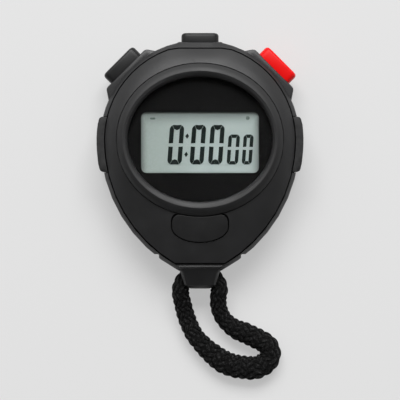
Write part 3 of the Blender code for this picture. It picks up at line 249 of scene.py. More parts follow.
# %% [markdown]
# All finishes are node trees that work from a point's place on its piece. Pictures of plastic or
# rubber could be wrapped round the pieces in their stead, but they blur from near by and show a
# seam. A few helpers keep the trees short. The first three start a material, add a node with its
# settings and give the point on the piece.

# %% Helpers that start a finish
def new_finish(name):
    """A new material, its tree and its Principled shader."""
    made = bpy.data.materials.new(name)
    made.use_nodes = True
    return made, made.node_tree, made.node_tree.nodes["Principled BSDF"]


def node(tree, kind, **values):
    """Adds a node. A value goes to the socket of that name, or else to the node's own setting."""
    made = tree.nodes.new("ShaderNode" + kind)
    for key, value in values.items():
        label = key.replace("_", " ")
        if label in made.inputs:
            made.inputs[label].default_value = value
        else:
            setattr(made, key, value)
    return made


def place(tree):
    """The point on the piece, in metres."""
    return node(tree, "TexCoord").outputs["Object"]


# %% Helpers that vary a finish
def noise(tree, scale, detail=2.0, stretch=None):
    """Soft cloudy values about 0.5. The scale is in waves for each metre."""
    made = node(tree, "TexNoise", Scale=scale, Detail=detail)
    source = place(tree)
    if stretch:
        mapping = node(tree, "Mapping", Scale=stretch)
        tree.links.new(source, mapping.inputs["Vector"])
        source = mapping.outputs["Vector"]
    tree.links.new(source, made.inputs["Vector"])
    return made.outputs["Fac"]


def span(tree, value, low, high, new_low, new_high):
    """Stretches the part of a value between low and high to new limits."""
    made = node(tree, "MapRange")
    limits = {"From Min": low, "From Max": high, "To Min": new_low, "To Max": new_high}
    for key, number in limits.items():
        made.inputs[key].default_value = number
    tree.links.new(value, made.inputs["Value"])
    return made.outputs["Result"]


def blend(tree, share, first, second):
    """Mixes two colours. Sockets 6 and 7 are the node's pair for colours."""
    made = node(tree, "Mix", data_type="RGBA")
    for socket, colour in ((made.inputs[6], first), (made.inputs[7], second)):
        if isinstance(colour, tuple):
            socket.default_value = (*colour, 1.0)
        else:
            tree.links.new(colour, socket)
    tree.links.new(share, made.inputs[0])
    return made.outputs[2]


def sums(tree, operation, first, second=0.0):
    """One step of arithmetic. Each of its two values is a number or a socket."""
    made = node(tree, "Math", operation=operation)
    for socket, value in ((made.inputs[0], first), (made.inputs[1], second)):
        if isinstance(value, (int, float)):
            socket.default_value = value
        else:
            tree.links.new(value, socket)
    return made.outputs[0]


# %% A helper for fine relief
BEVEL_SAMPLES = 6


def relief(tree, shader, height, depth, strength=1.0, edge=0.0):
    """Bumps of a real depth, in metres, on top of edges that are rounded to a small radius."""
    bump = node(tree, "Bump", Strength=strength, Distance=depth)
    if edge:
        rounded = node(tree, "Bevel", samples=BEVEL_SAMPLES, Radius=edge)
        tree.links.new(rounded.outputs["Normal"], bump.inputs["Normal"])
    tree.links.new(height, bump.inputs["Height"])
    tree.links.new(bump.outputs["Normal"], shader.inputs["Normal"])


# %% [markdown]
# The cord is spun polyester yarn: dull black, with paler specks on the crowns that are partly rubbed
# wear and partly painted highlight, and a painted shade that makes it almost black between the
# strands. The yarns in each strand show as fine lines. They could be drawn on a map of the cord, but
# the two values that the grid remembers, the height and the place across the strand, put the lines,
# the wear and the painted light and shade in the right places without one.

# %% The cord's finish
# A painted shade for between the strands, the yarn's own black, and the paler specks, which are partly
# rubbed wear and partly painted highlight.
PAINTED_SHADE_BETWEEN_STRANDS = (0.0004, 0.0004, 0.0004)
YARN_BLACK = (0.0010, 0.0010, 0.0010)
RUBBED_AND_HIGHLIGHT_YARN = (0.046, 0.046, 0.047)
YARN_SHINE = 0.17
YARN_SHEEN = 0.03
# How many waves a metre of cord has, of the specks (rubbed wear and painted highlight) and of single
# fibres.
SPECK_WAVES = 2100.0
FIBRE_WAVES = 6000.0
# How far, in radians, the yarn lines turn between a strand's middle and its edge.
YARN_WAVE = 14.0
YARN_DEPTH = 0.00012


def yarn_finish():
    """Dull yarn with paler specks on the crowns, rubbed wear and painted highlight, and painted shade
    between the strands.
    """
    made, tree, shader = new_finish("braided_yarn")
    height = node(tree, "Attribute", attribute_name="braid_height").outputs["Fac"]
    across = node(tree, "Attribute", attribute_name="across_strand").outputs["Fac"]
    # The specks, partly rubbed wear and partly painted highlight, lie on the crowns. Low between the
    # strands, the colour goes almost black: a painted shade.
    wear_and_highlight = span(tree, noise(tree, SPECK_WAVES, 4.0), 0.50, 0.68, 0.0, 1.0)
    lit_crown = span(tree, height, 0.35, 1.0, 0.0, 1.0)
    crown_specks = blend(tree, wear_and_highlight, YARN_BLACK, RUBBED_AND_HIGHLIGHT_YARN)
    tree.links.new(blend(tree, lit_crown, PAINTED_SHADE_BETWEEN_STRANDS, crown_specks), shader.inputs["Base Color"])
    tree.links.new(span(tree, height, 0.2, 1.0, 0.95, 0.66), shader.inputs["Roughness"])
    shader.inputs["Specular IOR Level"].default_value = YARN_SHINE
    shader.inputs["Sheen Weight"].default_value = YARN_SHEEN
    shader.inputs["Sheen Roughness"].default_value = 0.4
    lines = sums(tree, "SINE", sums(tree, "MULTIPLY", across, YARN_WAVE))
    fibre = sums(tree, "ADD", sums(tree, "MULTIPLY", lines, 0.5), noise(tree, FIBRE_WAVES, 3.0))
    relief(tree, shader, fibre, YARN_DEPTH)
    return made


cord = piece("braided_cord", braided_cord(), "case", yarn_finish())
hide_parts("lanyard_cord")

# %% [markdown]
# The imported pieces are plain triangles, so their round faces would show every facet. Subdividing
# them would smooth the faces, but it would melt the corners too. A small geometry-nodes modifier
# joins the loose triangles and shades the mesh smooth, and keeps every edge sharp that turns by
# more than 28 degrees. It leaves the mesh itself as it was packed.

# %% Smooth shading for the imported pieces
SHARP_ANGLE = math.radians(28)
WELD_DISTANCE = 2e-6


def smooth_rounds():
    """The nodes of the modifier, one after another, and the test for an edge that stays sharp."""
    group = bpy.data.node_groups.new("smooth_rounds", "GeometryNodeTree")
    group.interface.new_socket("Geometry", in_out="INPUT", socket_type="NodeSocketGeometry")
    group.interface.new_socket("Geometry", in_out="OUTPUT", socket_type="NodeSocketGeometry")
    made = {}
    for key, kind in (
        ("in", "NodeGroupInput"),
        ("merge", "GeometryNodeMergeByDistance"),
        ("angle", "GeometryNodeInputMeshEdgeAngle"),
        ("compare", "FunctionNodeCompare"),
        ("smooth", "GeometryNodeSetShadeSmooth"),
        ("unmark", "GeometryNodeSetShadeSmooth"),
        ("sharp", "GeometryNodeSetShadeSmooth"),
        ("out", "NodeGroupOutput"),
    ):
        made[key] = group.nodes.new(kind)
    made["merge"].inputs["Distance"].default_value = WELD_DISTANCE
    made["compare"].data_type = "FLOAT"
    made["compare"].operation = "GREATER_THAN"
    made["compare"].inputs[1].default_value = SHARP_ANGLE
    made["unmark"].domain = "EDGE"
    made["sharp"].domain = "EDGE"
    made["sharp"].inputs["Shade Smooth"].default_value = False
    links = group.links
    steps = ("in", "merge", "smooth", "unmark", "sharp", "out")
    for first, second in zip(steps, steps[1:]):
        links.new(made[first].outputs[0], made[second].inputs[0])
    links.new(made["angle"].outputs["Unsigned Angle"], made["compare"].inputs[0])
    links.new(made["compare"].outputs[0], made["sharp"].inputs["Selection"])
    return group


rounds = smooth_rounds()
for name, obj in nodes.items():
    if not obj.hide_render:
        obj.modifiers.new("smooth_rounds", "NODES").node_group = rounds
print("smoothed:", sum(1 for o in nodes.values() if o.modifiers))

# %% [markdown]
# No moulding has a knife edge: the tool that shapes it leaves a small radius on every corner. The
# larger pieces get theirs from the shading alone. The buttons and grips are looked at and touched
# most, so a bevel modifier between two rounds of smoothing gives them a radius that is really cut.

# %% Moulded radii
EDGE_RADII = {
    "front_button": 0.00045,
    "right_pusher": 0.00040,
    "left_pusher": 0.00040,
    "top_pusher": 0.00040,
    "grip_left": 0.00020,
    "grip_right": 0.00020,
}
RADIUS_STEPS = 3
for name, radius in EDGE_RADII.items():
    bevel = nodes[name].modifiers.new("moulded_radius", "BEVEL")
    bevel.width = radius
    bevel.segments = RADIUS_STEPS
    bevel.limit_method = "ANGLE"
    bevel.angle_limit = SHARP_ANGLE
    bevel.loop_slide = False
    nodes[name].modifiers.new("smooth_again", "NODES").node_group = rounds
print("with a moulded radius:", ", ".join(EDGE_RADII))


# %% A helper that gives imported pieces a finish
def dress(look, *names):
    """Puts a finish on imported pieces, in place of the one that they came with."""
    for name in names:
        data = nodes[name].data
        data.materials.clear()
        data.materials.append(look)
    print(look.name, "on", ", ".join(names))


# %% [markdown]
# The case is moulded in black plastic from a tool with a fine spark-eroded surface, so it shines
# softly. Its colour hardly changes, but its roughness does: hands polish some places and scuff
# others. Only the top of the case's rim is painted a little lighter, as a painted highlight. The
# grain is a tenth of a millimetre wide and far less deep, too fine to model, so it is a bump. One
# recipe serves all the mouldings, each with its own colour and gloss.

# %% A recipe for moulded plastic
NORMAL_SHINE = 0.5
CORNER_RADIUS = 0.0002
# How many waves of handling marks a metre has, and how much of the lighter colour they bring. The rim's
# painted highlight brings the same share.
CLOUD_WAVES = 130.0
SCUFF_WAVES = 420.0
WEAR_AND_HIGHLIGHT_SHARE = 0.35
# How much smoother polish makes the plastic, and how much rougher handling and scuffs do.
POLISHED = 0.04
HANDLED = 0.05
SCUFFED = 0.12


def moulded(
    name, colour, wear_and_highlight_colour, gloss, grain, shine=NORMAL_SHINE, rim=None, rounding=CORNER_RADIUS
):
    """Plastic with a moulded grain, given as its size and depth, and with handling marks. A rim,
    given as its height and how far its painted highlight fades below it, is painted lighter there."""
    made, tree, shader = new_finish(name)
    grain_size, grain_depth = grain
    cloud = span(tree, noise(tree, CLOUD_WAVES, 3.0), 0.35, 0.7, 0.0, 1.0)
    scuff = span(tree, noise(tree, SCUFF_WAVES, 6.0, (1.0, 0.25, 1.0)), 0.60, 0.72, 0.0, 1.0)
    wear_and_highlight = sums(tree, "MULTIPLY", cloud, WEAR_AND_HIGHLIGHT_SHARE)
    if rim:
        height = node(tree, "SeparateXYZ")
        tree.links.new(place(tree), height.inputs[0])
        # A painted highlight: the top of the rim is painted in the lighter colour.
        rim_highlight = span(tree, height.outputs["Z"], rim[0] - rim[1], rim[0], 0.0, WEAR_AND_HIGHLIGHT_SHARE)
        wear_and_highlight = sums(tree, "MAXIMUM", wear_and_highlight, rim_highlight)
    tree.links.new(blend(tree, wear_and_highlight, colour, wear_and_highlight_colour), shader.inputs["Base Color"])
    rough = span(tree, cloud, 0.0, 1.0, gloss - POLISHED, gloss + HANDLED)
    rough = sums(tree, "ADD", rough, sums(tree, "MULTIPLY", scuff, SCUFFED))
    tree.links.new(rough, shader.inputs["Roughness"])
    shader.inputs["Specular IOR Level"].default_value = shine
    relief(tree, shader, noise(tree, 1.0 / grain_size, 2.0), grain_depth, 0.6, rounding)
    return made


print(f"corners shaded with a radius of {CORNER_RADIUS * 1000} mm")

# %% The black mouldings
# The height of the case's rim, and how far below it its painted highlight fades.
CASE_RIM = (0.0127, 0.0012)
case_black = moulded(
    "case_black",
    (0.011, 0.011, 0.0115),
    (0.022, 0.022, 0.023),
    0.46,
    (0.00012, 0.00003),
    rim=CASE_RIM,
)
front_black = moulded(
    "front_black", (0.012, 0.012, 0.0125), (0.019, 0.019, 0.020), 0.50, (0.00011, 0.00003)
)
ring_black = moulded(
    "ring_black", (0.011, 0.011, 0.0115), (0.018, 0.018, 0.019), 0.57, (0.00010, 0.000008)
)
cap_black = moulded(
    "cap_black", (0.005, 0.005, 0.0053), (0.010, 0.010, 0.0105), 0.46, (0.00012, 0.00002), 0.38
)
button_black = moulded(
    "button_black", (0.007, 0.007, 0.0073), (0.011, 0.011, 0.0115), 0.52, (0.00012, 0.00002)
)
dress(case_black, "rear_cover")
dress(front_black, "front_cover")
dress(ring_black, "bezel_ring")
dress(cap_black, "left_pusher", "top_pusher")
dress(button_black, "front_button")

# %% The red button and the pale frame of the display
start_red = moulded(
    "start_red", (0.74, 0.0010, 0.0010), (0.82, 0.004, 0.0035), 0.42, (0.00010, 0.00001), 0.22
)
holder_white = moulded(
    "holder_white", (0.74, 0.74, 0.70), (0.66, 0.65, 0.60), 0.45, (0.00012, 0.00001)
)
dress(start_red, "right_pusher")
dress(holder_white, "lcd_holder")

# %% [markdown]
# The grips and the small soft parts are rubber: little shine, a fine dust in the pores and a colour
# that goes grey where it is touched. A plain rough black would do for the seals, but beside the
# case it would look like the same plastic, so the dust drives both the colour and the roughness.

# %% Rubber
DUST_WAVES = 700.0
PORE_WAVES = 5000.0
PORE_DEPTH = 0.00003
SOFT_CORNER = 0.00015


def rubber(name, colour, dusty, roughness=0.78):
    """Rubber whose pores hold dust."""
    made, tree, shader = new_finish(name)
    dust = span(tree, noise(tree, DUST_WAVES, 6.0), 0.40, 0.70, 0.0, 1.0)
    tree.links.new(blend(tree, dust, colour, dusty), shader.inputs["Base Color"])
    rough = span(tree, dust, 0.0, 1.0, roughness - 0.08, roughness + 0.10)
    tree.links.new(rough, shader.inputs["Roughness"])
    relief(tree, shader, noise(tree, PORE_WAVES, 3.0), PORE_DEPTH, 0.7, SOFT_CORNER)
    return made


grip_rubber = rubber("grip_rubber", (0.008, 0.008, 0.0085), (0.019, 0.019, 0.019), 0.60)
seal_rubber = rubber("seal_rubber", (0.05, 0.05, 0.05), (0.09, 0.09, 0.088))
sleeve_rubber = rubber("splice_sleeve", (0.02, 0.02, 0.02), (0.05, 0.05, 0.05), 0.6)
dress(grip_rubber, "grip_left", "grip_right")
dress(seal_rubber, "case_gasket", "zebra_upper", "zebra_lower", "button_dome")
dress(seal_rubber, "right_pusher_seal", "left_pusher_seal", "top_pusher_seal")
dress(sleeve_rubber, "cord_splice")

# %% [markdown]
# The lens is clear acrylic. Glass that bends light keeps lamps from what lies under it, so for a
# ray from a lamp it counts as a clear sheet. The low index stands for a coating against glare: it
# keeps the lamp's mirror image faint, so that the digits can be read from every side. A film of
# fine scratches breaks what shine is left.

# %% The lens
COATED_INDEX = 1.18
LENS_TINT = (0.97, 0.985, 0.98, 1.0)
LAMPLIGHT_TINT = (0.94, 0.96, 0.95, 1.0)
SCRATCH_WAVES = 260.0


def lens_finish():
    """Clear plastic that lets the lamp's light through to what lies under it."""
    made, tree, shader = new_finish("lens_acrylic")
    shader.inputs["Base Color"].default_value = LENS_TINT
    shader.inputs["Transmission Weight"].default_value = 1.0
    shader.inputs["IOR"].default_value = COATED_INDEX
    film = span(tree, noise(tree, SCRATCH_WAVES, 8.0, (1.0, 0.12, 1.0)), 0.5, 0.8, 0.01, 0.03)
    tree.links.new(film, shader.inputs["Roughness"])
    ray = node(tree, "LightPath")
    clear = node(tree, "BsdfTransparent", Color=LAMPLIGHT_TINT)
    both = node(tree, "MixShader")
    tree.links.new(ray.outputs["Is Shadow Ray"], both.inputs[0])
    tree.links.new(shader.outputs[0], both.inputs[1])
    tree.links.new(clear.outputs[0], both.inputs[2])
    tree.links.new(both.outputs[0], tree.nodes["Material Output"].inputs["Surface"])
    return made


dress(lens_finish(), "lens")

# %% [markdown]
# The mask is black ink, printed on a sheet behind the lens, and leaves a window for the display.
# A plain black would do, but print has a faint grain. It is seen through the lens, which shines
# for both, so the ink itself has no shine at all.

# %% The mask
mask_ink = moulded(
    "mask_ink",
    (0.0052, 0.0050, 0.0051),
    (0.0070, 0.0067, 0.0068),
    0.9,
    (0.00008, 0.000004),
    shine=0.0,
    rounding=0.0,
)
dress(mask_ink, "display_mask")

# %% [markdown]
# A reflecting display is two sheets of glass with a grey-green polariser. It has a faint mottle,
# gets paler to the right, and is darker towards its edges, where less light gets in under the
# mask. The gap under the mask is so thin that its real shadow is hardly there, so the material
# shades the edges, from the known sides of the window.

# %% The display glass
WINDOW_HALF_WIDTH = 0.01823
WINDOW_TOP = 0.00852
WINDOW_BOTTOM = -0.01020
# The mask's shade at each side of the window: its axis, where it starts and where it is full, and
# how strong it gets.
EDGE_SHADES = (
    ("Y", WINDOW_TOP - 0.0051, WINDOW_TOP, 1.0),
    ("Y", WINDOW_BOTTOM + 0.0007, WINDOW_BOTTOM, 0.6),
    ("X", 0.0026 - WINDOW_HALF_WIDTH, -WINDOW_HALF_WIDTH, 0.95),
    ("X", WINDOW_HALF_WIDTH - 0.0032, WINDOW_HALF_WIDTH, 0.95),
)
POLARISER_LEFT = (0.184, 0.210, 0.196)
POLARISER_RIGHT = (0.318, 0.360, 0.361)
UNDER_THE_MASK = (0.055, 0.062, 0.060)
SHADE_FALL = 1.8
MOTTLE_WAVES = 2600.0
HAZE_WAVES = 1200.0
GRAIN_WAVES = 9000.0
GRAIN_DEPTH = 0.000004


def display_finish():
    """A grey-green sheet with shaded edges."""
    made, tree, shader = new_finish("display_polariser")
    low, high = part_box("lcd_panel")
    middle = (low + high) / 2
    point = node(tree, "SeparateXYZ")
    tree.links.new(place(tree), point.inputs[0])
    from_left = span(tree, point.outputs["X"], low.x, middle.x, 0.0, 1.0)
    mottle = span(tree, noise(tree, MOTTLE_WAVES, 2.0), 0.3, 0.7, 0.0, 0.35)
    share = sums(tree, "MAXIMUM", mottle, sums(tree, "MULTIPLY", from_left, 0.5))
    colour = blend(tree, share, POLARISER_LEFT, POLARISER_RIGHT)
    edge = 0.0
    for axis, start, full, strength in EDGE_SHADES:
        shade = span(tree, point.outputs[axis], start, full, 0.0, strength)
        edge = sums(tree, "MAXIMUM", edge, shade)
    colour = blend(tree, sums(tree, "POWER", edge, SHADE_FALL), colour, UNDER_THE_MASK)
    tree.links.new(colour, shader.inputs["Base Color"])
    rough = span(tree, noise(tree, HAZE_WAVES, 3.0), 0.3, 0.7, 0.34, 0.42)
    tree.links.new(rough, shader.inputs["Roughness"])
    relief(tree, shader, noise(tree, GRAIN_WAVES, 2.0), GRAIN_DEPTH, 0.5)
    return made


dress(display_finish(), "lcd_panel")

# %% [markdown]
# The display reads zero: three large digits with a colon, and two small ones for the hundredths.
# They could be text in a font, but a display's digits are made of separate segments with mitred
# joints, which no common font has. So each lit segment is a thin dark plate just above the glass.
# Its outline starts from a few corners, a bevel rounds the outer ones, and an extrusion gives it a
# thickness. Their places were read off the photograph, where a pixel is 0.31 mm.

# %% A plate for each segment
PIXEL = 0.00031
DIAL_PIXEL = (200.0, 140.0)
SLANT = math.tan(math.radians(4.2))
SEGMENT_THICKNESS = 0.00004
SEGMENT_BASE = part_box("lcd_panel")[1].z + 0.00003
CORNER_STEPS = 4


def at_pixel(x, y):
    """The place in metres of a point that the picture shows at these pixels."""
    return (x - DIAL_PIXEL[0]) * PIXEL, (DIAL_PIXEL[1] - y) * PIXEL


def plate(bm, corners, rounded=(), radius=0.0):
    """A thin plate with some of its corners rounded."""
    verts = [bm.verts.new((x, y, SEGMENT_BASE)) for x, y in corners]
    face = bm.faces.new(verts)
    if rounded:
        chosen = [verts[i] for i in rounded]
        made = bmesh.ops.bevel(
            bm,
            geom=chosen,
            offset=radius,
            segments=CORNER_STEPS,
            profile=0.5,
            affect="VERTICES",
            material=-1,
        )
        face = made["verts"][0].link_faces[0]
    lifted = bmesh.ops.extrude_face_region(bm, geom=[face])
    top = [v for v in lifted["geom"] if isinstance(v, bmesh.types.BMVert)]
    bmesh.ops.translate(bm, verts=top, vec=(0.0, 0.0, SEGMENT_THICKNESS))


print("a pixel of the picture is", PIXEL * 1000, "mm on the dial")

# %% A zero of six segments
def zero(bm, left, right, bottom, top, waist, stroke, gap, peak):
    """A zero of six segments, drawn upright from its four edges. The waist is left open. The peak
    is how far the middles of the top and bottom bars reach into the digit. The corners of the
    segments lie at shares of the stroke, which give the mitred joints of such digits."""
    middle, cut = (left + right) / 2, 0.05 * stroke
    for end, joint, way in ((top, waist + gap / 2, 1), (bottom, waist - gap / 2, -1)):
        for outer, side in ((left, 1), (right, -1)):
            inner = outer + side * stroke
            # An upright: up its outer edge, over the mitre and down its inner edge.
            corners = [
                (outer, joint),
                (outer, end - way * 0.62 * stroke),
                (outer + side * 0.55 * stroke, end - way * 0.12 * stroke),
                (inner, end - way * 1.00 * stroke),
                (inner, joint + way * 0.08 * stroke),
            ]
            plate(bm, corners, (1,), stroke * 0.4)
        reach = (right - left) / 2 - 0.55 * stroke - cut
        # A bar: along its outer edge, which dips in the middle, and back along its inner edge.
        corners = [
            (middle - reach, end - way * 0.10 * stroke),
            (middle - reach * 0.80, end),
            (middle, end - way * 0.25 * peak),
            (middle + reach * 0.80, end),
            (middle + reach, end - way * 0.10 * stroke),
            (middle + reach - 0.45 * stroke, end - way * 0.98 * stroke),
            (middle, end - way * (0.98 * stroke + peak)),
            (middle - reach + 0.45 * stroke, end - way * 0.98 * stroke),
        ]
        plate(bm, corners)


# %% Build the reading
# All places and sizes here are in the picture's pixels. The left and right edges of the digits:
BIG_DIGITS = ((167.4, 184.4), (189.6, 206.2), (208.0, 224.7))
SMALL_DIGITS = ((226.8, 240.2), (241.8, 253.8))
# The digits, their top edge, their waist, the slant's share of their width, the stroke, the
# waist's gap and the bars' peak.
DIGIT_KINDS = (
    (BIG_DIGITS, 125.2, 145.2, 1.3, 4.4, 3.0, 1.0),
    (SMALL_DIGITS, 134.8, 148.6, 1.0, 3.5, 2.6, 0.1),
)
DIGIT_FOOT = 164.7
UNSLANTED_ROW = 145.0
COLON_DOTS = ((186.6, 136.4), (186.9, 154.6))
COLON_HALF_WIDTH = 1.9
COLON_HALF_HEIGHT = 2.8


def reading():
    """The five digits and the colon, drawn upright and then slanted."""
    bm = bmesh.new()
    for digits, top, waist, lean, *widths in DIGIT_KINDS:
        for left, right in digits:
            x0, y0 = at_pixel(left + lean, DIGIT_FOOT)
            x1, y1 = at_pixel(right - lean, top)
            zero(bm, x0, x1, y0, y1, at_pixel(0, waist)[1], *[width * PIXEL for width in widths])
    half, tall = COLON_HALF_WIDTH * PIXEL, COLON_HALF_HEIGHT * PIXEL
    for dot in COLON_DOTS:
        cx, cy = at_pixel(*dot)
        plate(bm, [(cx - half, cy), (cx, cy + tall), (cx + half, cy), (cx, cy - tall)])
    unslanted_y = at_pixel(0, UNSLANTED_ROW)[1]
    for v in bm.verts:
        v.co.x += (v.co.y - unslanted_y) * SLANT
    bmesh.ops.recalc_face_normals(bm, faces=bm.faces)
    return bm


# %% Build the faint marks
# The middle, half the width and half the height of each mark, in pixels:
FAINT_MARKS = ((152.9, 118.9, 2.6, 1.0), (247.5, 118.4, 1.9, 1.8))


def marks():
    """The two small marks above the digits, which are only half switched on."""
    bm = bmesh.new()
    for x, y, half, tall in FAINT_MARKS:
        cx, cy = at_pixel(x, y)
        half, tall = half * PIXEL, tall * PIXEL
        corners = [(cx + i * half, cy + j * tall) for i, j in ((-1, -1), (1, -1), (1, 1), (-1, 1))]
        plate(bm, corners, (0, 1, 2, 3), tall * 0.9)
    bmesh.ops.recalc_face_normals(bm, faces=bm.faces)
    return bm


# %% The ink of the segments
CLOUDED_WAVES = 900.0
SEGMENT_SHINE = 0.15


def segment_finish(name, dark, light):
    """A liquid crystal that is switched on, never quite evenly."""
    made, tree, shader = new_finish(name)
    uneven = span(tree, noise(tree, CLOUDED_WAVES, 3.0), 0.35, 0.65, 0.0, 1.0)
    tree.links.new(blend(tree, uneven, dark, light), shader.inputs["Base Color"])
    tree.links.new(span(tree, uneven, 0.0, 1.0, 0.45, 0.6), shader.inputs["Roughness"])
    shader.inputs["Specular IOR Level"].default_value = SEGMENT_SHINE
    return made


lit = segment_finish("display_segments", (0.0008, 0.003, 0.0025), (0.002, 0.006, 0.005))
faint = segment_finish("display_faint_marks", (0.055, 0.070, 0.065), (0.085, 0.105, 0.095))
piece("display_reading", reading(), "case", lit, smooth=False)
piece("display_marks", marks(), "case", faint, smooth=False)

# %% [markdown]
# Inside, the metal parts are nickel-plated steel or brass. One grey with a fixed gloss would look
# like plastic. Plating is never quite even, so the colour and the roughness drift together, and
# fine draw lines run along the parts.

# %% Metals
TARNISH_WAVES = 500.0
DRAW_LINE_WAVES = 2500.0
DRAW_LINE_DEPTH = 0.000006
# How much rougher than clean plating the tarnish is.
TARNISH_DULLING = 0.18


def metal(name, colour, tarnish, roughness):
    """Metal that is duller where it has tarnished."""
    made, tree, shader = new_finish(name)
    shader.inputs["Metallic"].default_value = 1.0
    stain = span(tree, noise(tree, TARNISH_WAVES, 5.0), 0.45, 0.75, 0.0, 1.0)
    tree.links.new(blend(tree, stain, colour, tarnish), shader.inputs["Base Color"])
    rough = span(tree, stain, 0.0, 1.0, roughness, roughness + TARNISH_DULLING)
    tree.links.new(rough, shader.inputs["Roughness"])
    draw_lines = noise(tree, DRAW_LINE_WAVES, 3.0, (1.0, 8.0, 1.0))
    relief(tree, shader, draw_lines, DRAW_LINE_DEPTH, 0.5)
    return made


nickel = metal("nickel_plate", (0.60, 0.59, 0.56), (0.46, 0.44, 0.40), 0.24)
brass = metal("contact_brass", (0.72, 0.50, 0.21), (0.50, 0.33, 0.14), 0.28)
pushers = ("right_pusher", "left_pusher", "top_pusher")
dress(nickel, "battery", "battery_clip", "buzzer_spring", "quartz_crystal")
dress(nickel, *[f"{name}_spring" for name in pushers], *[f"{name}_clip" for name in pushers])
dress(nickel, *[name for name in nodes if "_screw_" in name])
dress(brass, "battery_leaf", "buzzer_plate", "right_contact", "left_contact", "top_contact")

# %% [markdown]
# The board is green solder resist over copper and glass cloth, the chip is a drop of black resin,
# and the sounder is a disc of pale fired ceramic. They are hidden, but someone who takes the
# covers off sees them, so they get simple finishes: the weave of the cloth drives the board's
# colour, gloss and relief, and the mouldings' recipe serves the other two.

# %% Board, chip and sounder
WEAVE_WAVES = 3000.0
WEAVE_DEPTH = 0.00001


def board_finish():
    """Green resist over woven glass."""
    made, tree, shader = new_finish("board_resist")
    weave = span(tree, noise(tree, WEAVE_WAVES, 1.0, (1.0, 4.0, 1.0)), 0.4, 0.6, 0.0, 1.0)
    colour = blend(tree, weave, (0.014, 0.11, 0.036), (0.022, 0.15, 0.05))
    tree.links.new(colour, shader.inputs["Base Color"])
    tree.links.new(span(tree, weave, 0.0, 1.0, 0.38, 0.5), shader.inputs["Roughness"])
    relief(tree, shader, weave, WEAVE_DEPTH, 0.5)
    return made


dress(board_finish(), "main_board")
chip_resin = moulded(
    "chip_resin", (0.010, 0.010, 0.010), (0.018, 0.018, 0.018), 0.28, (0.0003, 0.00002)
)
fired_ceramic = moulded(
    "fired_ceramic", (0.70, 0.68, 0.62), (0.60, 0.58, 0.52), 0.55, (0.00006, 0.00001)
)
dress(chip_resin, "controller_blob")
dress(fired_ceramic, "buzzer_ceramic")
looks = {name: obj.data.materials for name, obj in nodes.items()}
bare = [name for name, own in looks.items() if not own or not own[0].use_nodes]
print("pieces with no finish:", bare)

# %% [markdown]
# The stopwatch lies on a pale matt table. More light would turn the table pale, but it would wash
# out the black plastic too. So the paleness is the table's own: for rays from the camera, and for
# those that metal and glass send out, a share of its light is a steady glow. The rest of it is
# lit as usual and keeps the object's shadow.

# %% The table
TABLE_HALF_WIDTH = 6.0
TABLE_PALE = (0.76, 0.76, 0.76, 1.0)
TABLE_GLOW = (0.75, 0.75, 0.75, 1.0)
GLOW_SHARE = 0.56


def floor():
    """A flat square, far wider than the picture."""
    bm = bmesh.new()
    bmesh.ops.create_grid(bm, x_segments=1, y_segments=1, size=TABLE_HALF_WIDTH)
    mesh = bpy.data.meshes.new("pale_table")
    bm.to_mesh(mesh)
    bm.free()
    made, tree, shader = new_finish("pale_table")
    shader.inputs["Base Color"].default_value = TABLE_PALE
    shader.inputs["Roughness"].default_value = 0.9
    shader.inputs["Specular IOR Level"].default_value = 0.1
    glow = node(tree, "Emission", Color=TABLE_GLOW)
    ray = node(tree, "LightPath")
    seen = sums(tree, "MAXIMUM", ray.outputs["Is Camera Ray"], ray.outputs["Is Glossy Ray"])
    seen = sums(tree, "MAXIMUM", seen, ray.outputs["Is Transmission Ray"])
    both = node(tree, "MixShader")
    tree.links.new(sums(tree, "MULTIPLY", seen, GLOW_SHARE), both.inputs[0])
    tree.links.new(shader.outputs[0], both.inputs[1])
    tree.links.new(glow.outputs[0], both.inputs[2])
    tree.links.new(both.outputs[0], tree.nodes["Material Output"].inputs["Surface"])
    mesh.materials.append(made)
    obj = bpy.data.objects.new("pale_table", mesh)
    bpy.context.scene.collection.objects.link(obj)
    return obj


floor()
print("table", 2 * TABLE_HALF_WIDTH, "m wide, with a glow of", GLOW_SHARE)

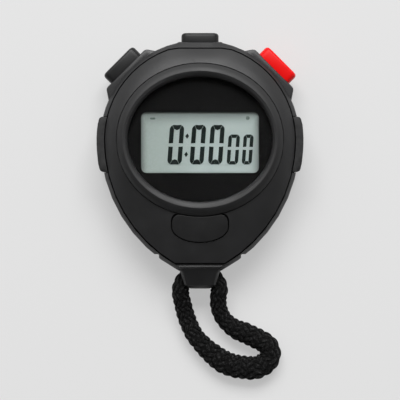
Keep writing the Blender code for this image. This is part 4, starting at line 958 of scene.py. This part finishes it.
# %% [markdown]
# In the photograph the shadows fall softly towards the cord, so one wide soft lamp stands beyond
# the top edge. An even room would make the lens and the flat plastic look grey, because they
# mirror what is above them. So the room is bright near the horizon, and dim overhead and on the
# cord's side. The lens stays black, and the slopes that face away from the cord get highlights.

# %% The lamp
LAMP_PLACE = Vector((0.0, 1.15, 1.2))
LAMP_AIM = Vector((0.0, -0.02, 0.0))
LAMP_WIDTH = 1.5
LAMP_HEIGHT = 0.8
LAMP_WATTS = 32.5

lamp_data = bpy.data.lights.new("far_softbox", "AREA")
lamp_data.shape = "RECTANGLE"
lamp_data.size = LAMP_WIDTH
lamp_data.size_y = LAMP_HEIGHT
lamp_data.energy = LAMP_WATTS
lamp = bpy.data.objects.new("far_softbox", lamp_data)
lamp.location = LAMP_PLACE
lamp.rotation_euler = (LAMP_AIM - LAMP_PLACE).to_track_quat("-Z", "Y").to_euler()
bpy.context.scene.collection.objects.link(lamp)
print(f"lamp of {LAMP_WIDTH} by {LAMP_HEIGHT} m and {LAMP_WATTS} W, {LAMP_PLACE.z:.1f} m up")

# %% The room
# Overhead: the Z of a direction where the light starts to fade and where it is faintest, and the
# light at these two. Towards the cord: the same for Y, but from the faintest to the full light.
LIGHT_BY_HEIGHT = (0.86, 0.97, 0.58, 0.09)
LIGHT_BY_SIDE = (-0.65, 0.25, 0.08, 1.0)

world = bpy.data.worlds.new("studio_room")
world.use_nodes = True
bpy.context.scene.world = world
room = world.node_tree
way = node(room, "SeparateXYZ")
room.links.new(node(room, "TexCoord").outputs["Generated"], way.inputs[0])
overhead = span(room, way.outputs["Z"], *LIGHT_BY_HEIGHT)
far_side = span(room, way.outputs["Y"], *LIGHT_BY_SIDE)
background = room.nodes["Background"]
background.inputs["Color"].default_value = (1.0, 1.0, 1.0, 1.0)
room.links.new(sums(room, "MULTIPLY", overhead, far_side), background.inputs["Strength"])
bpy.context.scene.view_settings.view_transform = "Standard"
print("room:", world.name, "with the light overhead at", LIGHT_BY_HEIGHT[3])
